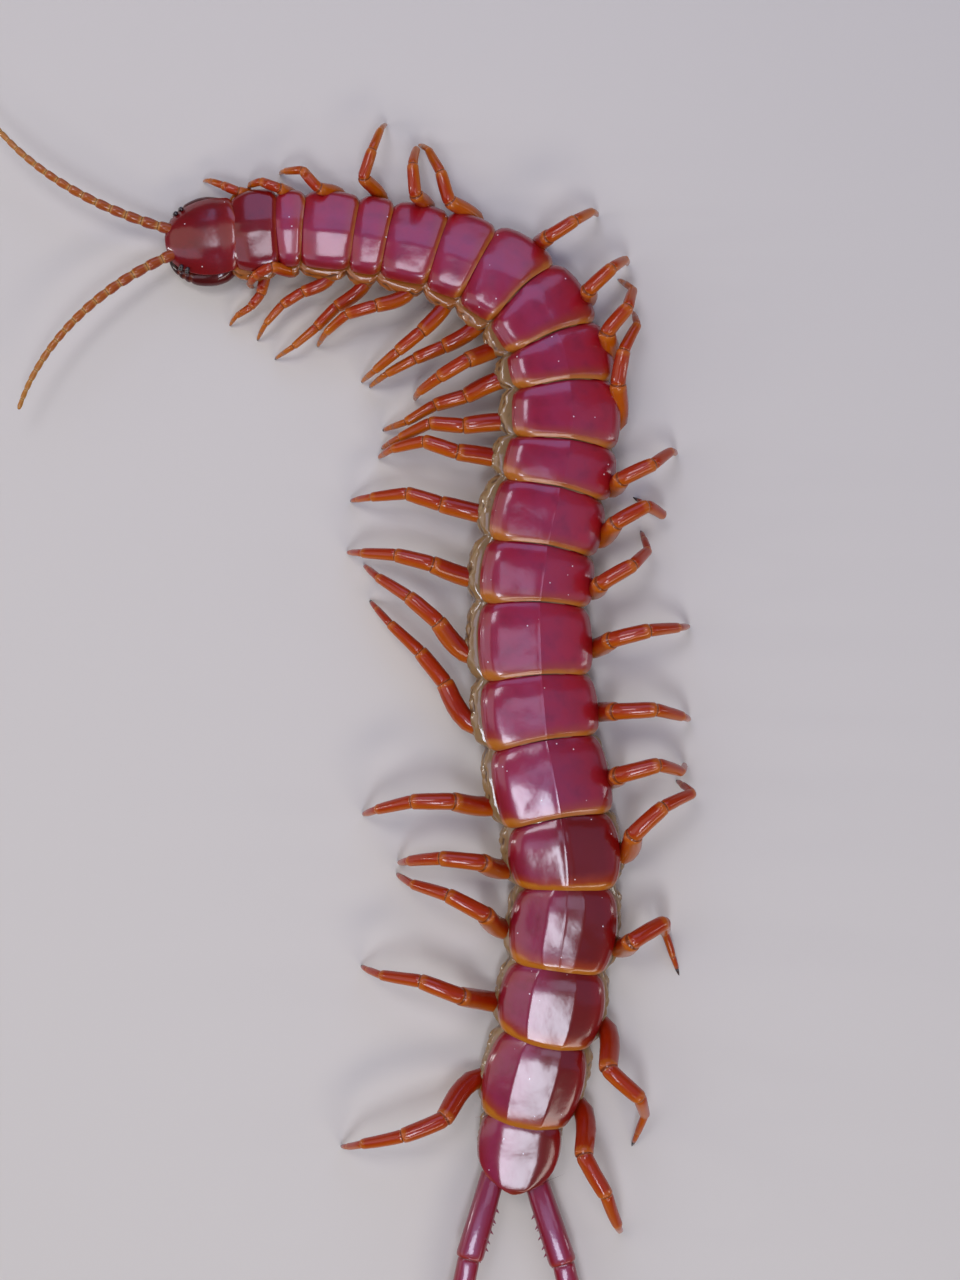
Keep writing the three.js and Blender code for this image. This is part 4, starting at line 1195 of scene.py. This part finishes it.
def last_leg_line(side):
    at = station(LAST, LAST_LEG_ALONG)
    root = on_body(at, side * LAST_LEG_OUT, LAST_LEG_UP * at.height)
    back = SEGMENTS[LAST][HEADING] + 180

    def links(tilt):
        turns = [back - side * (LAST_LEG_SPREAD[side] - inward) for inward in LAST_LEG_INWARD]
        return [Link(n, turn, rise - tilt) for n, turn, rise in zip(LAST_LEG_LENGTHS, turns, LAST_LEG_RISE)]

    tilt = solve(lambda value: chain(root, links(value))[-1].z + TOE_SINK, *LAST_LEG_TILTS)
    return chain(root, links(tilt))


def spine(place, direction, radius, length):
    """A slender cone on its root, with a share of its length sunk in what carries it."""
    bm = bmesh.new()
    turn = direction.to_track_quat("Z", "Y").to_matrix().to_4x4()
    turn.translation = place + direction * (length * (0.5 - SPINE_SUNK))
    bmesh.ops.create_cone(
        bm, cap_ends=True, segments=SPINE_SIDES, radius1=radius, radius2=radius * SPINE_TIP, depth=length,
        matrix=turn,
    )
    lips = [edge for edge in bm.edges if edge.calc_face_angle(0) > RIM_TURN]
    bmesh.ops.bevel(
        bm, geom=lips, offset=radius * SPINE_LIP, offset_type="OFFSET", segments=1, profile=0.5,
        affect="EDGES", material=-1,
    )
    return bm


def joined(parts):
    """Several meshes as one."""
    whole = parts[0]
    for part in parts[1:]:
        mesh = bpy.data.meshes.new("part")
        part.to_mesh(mesh)
        part.free()
        whole.from_mesh(mesh)
        bpy.data.meshes.remove(mesh)
    return whole


plum_cuticle = leg_material(
    "plum_cuticle", "7e0a20", "8c0a10", "a02208", "820a16", "9c3410", roughness=0.34, gloss=0.5, tint="c8c4ff"
)


def thigh_spines(side, line):
    start, end = line[:2]
    ahead = (end - start).normalized()
    inward = (UP.cross(ahead) * side).normalized()
    found = []
    for share, height in THIGH_SPINES:
        out = (inward + UP * height).normalized()
        foot = start.lerp(end, share) + out * (SPINE_OUT * LAST_LEG_RADIUS)
        found.append(spine(foot, (out + ahead * SPINE_LEAN).normalized(), SPINE_RADIUS, SPINE_LENGTH))
    corner = start.lerp(end, PROCESS_ALONG)
    corner = corner + inward * (PROCESS_IN * LAST_LEG_RADIUS) + UP * (PROCESS_UP * LAST_LEG_RADIUS)
    aim = (ahead + inward * PROCESS_LEAN_IN + UP * PROCESS_LEAN_UP).normalized()
    found.append(spine(corner, aim, PROCESS_RADIUS, PROCESS_LENGTH))
    return joined(found)


for side, name in SIDE_NAMES.items():
    line = last_leg_line(side)
    rings = limb_rings(line[:-1], range(len(line) - 1), LAST_LEG_THICKNESS, LAST_LEG_RADIUS)
    shaft = limb(rings, LAST_LEG_FRONT, sides=LAST_LEG_SIDES, crown=LAST_LEG_CROWN)
    finish_piece(shaft, f"last_leg_{name}", plum_cuticle, [f"ultimate_leg_{name}"])
    finish_piece(thigh_spines(side, line), f"thigh_spines_{name}", plum_cuticle)
    finish_piece(claw(line, LAST_CLAW_ROOT), f"last_claw_{name}", claw_chitin)
print("last legs:", 2, "spines on each:", len(THIGH_SPINES) + 1)

# %% [markdown]
# ## The head
# The head is a flat capsule roofed by one shield, which is smooth, domed and overlaps the first back plate.
# Four simple eyes stand in a cluster on each side, just behind the root of the feeler. The head has a frame
# of its own, turned and nodded a little against the trunk, as the solids have it.

# %% Head shield, capsule and eyes
HEAD_HEADING, HEAD_ROLL, HEAD_NOD = 187, 5, 3


def head_station():
    nod = math.radians(HEAD_NOD)
    forward = plan_vector(HEAD_HEADING) * math.cos(nod) - UP * math.sin(nod)
    level = UP.cross(forward).normalized()
    left = Matrix.Rotation(math.radians(HEAD_ROLL), 3, forward) @ level
    return Station(station(0, 0).origin, forward, left, forward.cross(left), 0, 0, HEAD_ROLL)


HEAD = head_station()
HEAD_HALF = [(-2.2, 7.2), (0, 7.6), (3.5, 7.9), (7, 7.4), (10, 6.1), (12, 4.4), (13.2, 2.8)]
HEAD_TOP = [(-2.2, 3.0), (0, 3.15), (3.5, 3.2), (7, 3.05), (10, 2.5), (12, 1.8), (13.2, 1.05)]
HEAD_BOTTOM = [(-2.2, -1.2), (0, -1.4), (3.5, -1.5), (7, -1.5), (10, -1.4), (12, -1.1), (13.2, -0.6)]
HEAD_REAR, HEAD_FRONT = -1.5, 13.2
SHIELD_ACROSS = [(0, 0), (0.8, 0.86), (1, 1)]
SHIELD_EDGE, SHIELD_POWER = 0.44, 2.9
SHIELD_REAR_CORNER, SHIELD_FRONT_CORNER = 1.6, 1.3
SHIELD_COLUMNS, SHIELD_ROWS = 60, 44
SHIELD_THICKNESS, SHIELD_RIM = 0.4, 0.13
# Over the neck: a swelling, the lip behind it and the bend of the rear edge, each with its reach.
NECK_SWELL, NECK_SWELL_REACH = 0.35, 4
NECK_LIP, NECK_LIP_REACH = 0.2, 0.8
NECK_BEND, NECK_BEND_REACH = 0.7, 5
EYES = [(9.1, 6.25, 1.3), (10.3, 5.5, 1.25), (9.4, 6.45, 0.45), (10.6, 5.65, 0.4)]
EYE_RADIUS = 0.5
CAPSULE_RINGS, CAPSULE_SIDES = 26, 48
CAPSULE_REAR, CAPSULE_FRONT = -2.0, HEAD_FRONT - 0.3
# The capsule's nose narrows over this share of its length to this share of its width.
NOSE_REACH, NOSE_SHARE = 0.12, 0.5
# How far it stays in from the sides and from under the shield, and how high its widest line lies.
CAPSULE_INSET, CAPSULE_DROP, CAPSULE_WAIST = 0.7, 0.95, 0.42
# Below 1 these powers make its outline squarer than an ellipse, across and in height.
CAPSULE_SQUARE_ACROSS, CAPSULE_SQUARE_UP = 0.75, 0.9
PUCKER, PUCKER_SCALE = 0.06, 0.9


def on_head(f, u, w):
    return on_body(HEAD, u, w, f)


def shield_place(x, y):
    u = math.copysign(table_value(SHIELD_ACROSS, abs(x)), x)
    f = lerp(HEAD_REAR, HEAD_FRONT, y)
    rear, front = f - HEAD_REAR, HEAD_FRONT - f
    half = table_value(HEAD_HALF, f) - inset_of_corner(rear, SHIELD_REAR_CORNER)
    half -= inset_of_corner(front, SHIELD_FRONT_CORNER)
    top, bottom = table_value(HEAD_TOP, f), table_value(HEAD_BOTTOM, f)
    w = lerp(bottom, top, 1 - (1 - SHIELD_EDGE) * abs(u) ** SHIELD_POWER)
    w += NECK_SWELL * (1 - ramp(0, NECK_SWELL_REACH, rear)) - NECK_LIP * (1 - ramp(0, NECK_LIP_REACH, rear))
    side = half * (1 - abs(u))
    bend = -NECK_BEND * (1 - u * u) * (1 - ramp(0, NECK_BEND_REACH, rear))
    return on_head(f + bend, u * half, w), u, rear, 0.0, side


shield = thicken(
    sheet(SHIELD_COLUMNS, SHIELD_ROWS, shield_place, PLATE_NUMBERS), SHIELD_THICKNESS, SHIELD_RIM, -UP
)
finish_piece(shield, "head_shield", head_shield_cuticle, replaced=["head"])


def capsule_place(n, turn):
    share = n / (CAPSULE_RINGS - 1)
    f = lerp(CAPSULE_REAR, CAPSULE_FRONT, share)
    shrink = 1 - NOSE_SHARE * (1 - ramp(0, NOSE_REACH, 1 - share))
    half = (table_value(HEAD_HALF, f) - CAPSULE_INSET) * shrink
    top, bottom = table_value(HEAD_TOP, f) - CAPSULE_DROP, table_value(HEAD_BOTTOM, f)
    angle = 2 * math.pi * turn
    x, z = math.cos(angle), math.sin(angle)
    u = math.copysign(abs(x) ** CAPSULE_SQUARE_ACROSS, x) * half
    reach = (top - bottom) * (1 - CAPSULE_WAIST if z > 0 else CAPSULE_WAIST)
    w = lerp(bottom, top, CAPSULE_WAIST) + math.copysign(abs(z) ** CAPSULE_SQUARE_UP, z) * reach
    pucker = PUCKER * noise.noise(Vector((f, u, w)) * PUCKER_SCALE)
    return on_head(f, u, w + pucker), 0.5 + 0.5 * pucker, 0.0


capsule = tube(CAPSULE_SIDES, CAPSULE_RINGS, capsule_place, SKIN_NUMBERS)
finish_piece(capsule, "head_capsule", arthrodial_membrane)
eye_lens = chitin_material("eye_lens", "120608", "240c10", 0.1, 0.5)
for side, name in SIDE_NAMES.items():
    eyes = bmesh.new()
    for f, u, w in EYES:
        place = Matrix.Translation(on_head(f, side * u, w))
        bmesh.ops.create_uvsphere(eyes, u_segments=24, v_segments=14, radius=EYE_RADIUS, matrix=place)
    finish_piece(eyes, f"eyes_{name}", eye_lens)
print("head from", HEAD_REAR, "to", HEAD_FRONT, "mm of the neck; eyes:", 2 * len(EYES))

# %% [markdown]
# ## Feelers
# A feeler has seventeen short joints that grow thinner towards the tip. On the animal the first six are bare
# and shiny like the legs, and very fine hair dulls the others. The hair is too fine to show, so one finish, a
# little duller than that of the legs, serves for the whole feeler.

# %% Feelers
FEELER_JOINTS, FEELER_LENGTH = 17, 46
FEELER_RADII = (1.15, 0.45)
FEELER_ROOT = (11, 2.3, 0.5)
FEELER_TURN, FEELER_RISE, FEELER_TAPER = (20, 62), (14, -6), 0.55
# Share along one joint, with its thickness there and how near the ring between two joints is.
FEELER_STOPS = [
    (0.0, 0.78, 1.0), (0.08, 0.84, 0.4), (0.3, 0.95, 0), (0.6, 1.02, 0), (0.82, 1.0, 0), (0.95, 0.86, 0.5),
]
# How far beyond the last joint the tip is rounded, and how thick it is there.
FEELER_TIP = [(0.12, 0.95), (0.3, 0.7), (0.4, 0.35)]
FEELER_SIDES = 20
FEELER_FRONT = UP * -0.5

feeler_cuticle = leg_material(
    "feeler_cuticle", "8a2408", "a04c10", "b07a2c", "a85c14", "c79a4a", roughness=0.45
)


def feeler_line(side):
    shares = [lerp(1, FEELER_TAPER, k / (FEELER_JOINTS - 1)) for k in range(FEELER_JOINTS)]
    links = []
    for k, share in enumerate(shares):
        t = k / (FEELER_JOINTS - 1)
        turn = HEAD_HEADING + side * lerp(*FEELER_TURN, t)
        links.append(Link(share / sum(shares) * FEELER_LENGTH, turn, lerp(*FEELER_RISE, t)))
    f, u, w = FEELER_ROOT
    return chain(on_head(f, side * u, w), links)


def feeler(side):
    line = feeler_line(side)
    rings = []
    for k in range(FEELER_JOINTS):
        a, b = line[k], line[k + 1]
        direction = (b - a).normalized()
        across = UP.cross(direction).normalized()
        for share, swell, joint in FEELER_STOPS:
            done = (k + share) / FEELER_JOINTS
            size = lerp(*FEELER_RADII, done) * swell
            rings.append(Ring(a.lerp(b, share), across, direction.cross(across), size, done, joint, 0))
    end = rings[-1]
    direction = end.side.cross(end.top)
    for ahead, shrink in FEELER_TIP:
        rings.append(end._replace(centre=end.centre + direction * ahead, radius=end.radius * shrink, joint=0))
    return limb(rings, FEELER_FRONT, sides=FEELER_SIDES)


for side, name in SIDE_NAMES.items():
    finish_piece(feeler(side), f"feeler_{name}", feeler_cuticle, [f"antenna_{name}"])
print("feeler joints:", FEELER_JOINTS)

# %% [markdown]
# ## Venom claws and mouthparts
# The first pair of legs has become a pair of venom claws that close under the head. Each is a stout, swollen
# thigh, two narrow rings and a curved fang, dark red turning black at the tip. They hinge on a broad base
# plate whose front edge carries two plates of small black teeth. Between them and the head lie the second
# jaws with their feeler-like palps.

# %% Venom claws, their base and the jaws
FANG_LINE = [
    (0.6, 5.0, -2.4, 2.2), (2.9, 6.6, -2.4, 2.35), (5.8, 7.1, -2.4, 2.1), (8.8, 6.5, -2.5, 1.7),
    (11.2, 5.0, -2.7, 1.25), (12.6, 3.0, -2.9, 0.85), (12.9, 1.0, -3.0, 0.3),
]
FANG_FLATNESS = 0.85
FANG_STEPS, FANG_SIDES = 60, 28
# Depth and half width of a groove, and the half step over which the direction is taken.
HORN_GROOVE_DEPTH, HORN_GROOVE_HALF, HORN_STEP = 0.16, 0.022, 0.05
# Places of the grooves between the thigh, the two narrow rings and the fang, as shares of the whole.
FANG_GROOVES = (0.5, 0.575, 0.65)
BASE_HALF = [(0.2, 5.8), (2.5, 6.2), (4.4, 5.7), (5.4, 5.0), (8.6, 3.3)]
BASE_TOP = [(0.2, -1.9), (2.5, -1.9), (4.2, -2.1), (5.0, -3.1), (8.6, -3.1)]
BASE_BOTTOM = [(0.2, -4.1), (2.5, -4.35), (4.8, -4.25), (8.6, -3.9)]
BASE_REAR, BASE_FRONT = 0.3, 8.6
BASE_RINGS, BASE_SIDES, BASE_SQUARENESS = 30, 48, 0.6
# The groove below: depth, half width and the shares of the length over which it deepens.
BASE_GROOVE, BASE_GROOVE_HALF, BASE_GROOVE_FROM, BASE_GROOVE_TO = 0.12, 0.25, 0.5, 0.9
# The base is coloured like the start of a venom claw, from this share of it on and over this range.
BASE_SHADE, BASE_SHADE_RANGE = 0.15, 0.3
TEETH = (0.6, 1.3, 2.0, 2.7)
TEETH_AHEAD, TEETH_RISE = 8.5, -3.3
TOOTH_RADIUS, TOOTH_LENGTH = 0.4, 1.3
JAW_HALF = [(0, 2.8), (0.5, 3.0), (0.85, 2.4), (1, 1.4)]
JAW_REAR, JAW_FRONT = 5.0, 10.8
JAW_RINGS, JAW_SIDES = 16, 36
JAW_RISE, JAW_HEIGHT = -2.25, 0.42
JAW_SEAM, JAW_SEAM_HALF = 0.06, 0.2
PALP = [(8.4, 2.6, -2.3, 0.55), (9.8, 3.1, -2.3, 0.5), (11, 2.7, -2.3, 0.42), (11.6, 2.1, -2.3, 0.3)]
PALP_STEPS, PALP_SIDES, PALP_GROOVES = 16, 14, (0.4, 0.75)

forcipule_cuticle = leg_material(
    "venom_claw_cuticle", "5a0b0a", "4a0a0a", "120405", "6a1208", "7a3010", roughness=0.28
)
jaw_cuticle = leg_material("jaw_cuticle", "8a3c10", "9a5416", "a86a20", "9a5a18", "b9883a", roughness=0.4)


def horn(points, side, steps, sides, flatness, grooves):
    """A curved, tapering tube through points of the head's frame."""
    columns = [[(k, point[c]) for k, point in enumerate(points)] for c in range(4)]

    def centre(x):
        f, u, w = (table_value(column, x) for column in columns[:3])
        return on_head(f, side * u, w)

    rings = []
    end = len(points) - 1
    for n in range(steps + 1):
        x = n / steps * end
        direction = (centre(min(x + HORN_STEP, end)) - centre(max(x - HORN_STEP, 0))).normalized()
        across = HEAD.up.cross(direction).normalized()
        near = max(hump((n / steps - groove) / HORN_GROOVE_HALF) for groove in grooves)
        size = table_value(columns[3], x) * (1 - HORN_GROOVE_DEPTH * near)
        rings.append(Ring(centre(x), across, direction.cross(across), size, n / steps, near, 0))
    return limb(rings, UP, sides=sides, flat=flatness)


for side, name in SIDE_NAMES.items():
    fang = horn(FANG_LINE, side, FANG_STEPS, FANG_SIDES, FANG_FLATNESS, FANG_GROOVES)
    replaced = [f"forcipule_{name}"]
    finish_piece(fang, f"venom_claw_{name}", forcipule_cuticle, replaced)


def base_place(n, turn):
    share = n / (BASE_RINGS - 1)
    f = lerp(BASE_REAR, BASE_FRONT, share)
    angle = 2 * math.pi * turn
    x, z = math.cos(angle), math.sin(angle)
    top, bottom = table_value(BASE_TOP, f), table_value(BASE_BOTTOM, f)
    u = math.copysign(abs(x) ** BASE_SQUARENESS, x) * table_value(BASE_HALF, f)
    w = (top + bottom) / 2 + math.copysign(abs(z) ** BASE_SQUARENESS, z) * (top - bottom) / 2
    deepening = ramp(BASE_GROOVE_FROM, BASE_GROOVE_TO, share)
    groove = BASE_GROOVE * hump(u / BASE_GROOVE_HALF) * (z < 0) * deepening
    return on_head(f, u, w + groove), BASE_SHADE + BASE_SHADE_RANGE * share, 0.0, 0.0, 1.0


finish_piece(
    tube(BASE_SIDES, BASE_RINGS, base_place, LIMB_NUMBERS), "venom_claw_base", forcipule_cuticle,
    replaced=["forcipule_base"],
)
teeth = [
    spine(on_head(TEETH_AHEAD, side * u, TEETH_RISE), HEAD.forward, TOOTH_RADIUS, TOOTH_LENGTH)
    for side in SIDE_NAMES
    for u in TEETH
]
finish_piece(joined(teeth), "venom_claw_teeth", claw_chitin)
palps = joined([horn(PALP, side, PALP_STEPS, PALP_SIDES, 1, PALP_GROOVES) for side in SIDE_NAMES])


def jaw_place(n, turn):
    share = n / (JAW_RINGS - 1)
    f = lerp(JAW_REAR, JAW_FRONT, share)
    angle = 2 * math.pi * turn
    half = table_value(JAW_HALF, share)
    w = JAW_RISE + JAW_HEIGHT * math.sin(angle) - JAW_SEAM * hump(math.cos(angle) / JAW_SEAM_HALF)
    return on_head(f, math.cos(angle) * half, w), share, 0.0, 0.0, 1.0


jaws = joined([tube(JAW_SIDES, JAW_RINGS, jaw_place, LIMB_NUMBERS), palps])
finish_piece(jaws, "jaws", jaw_cuticle, replaced=["mouthparts"])
print("venom claws:", 2, "teeth:", len(teeth))
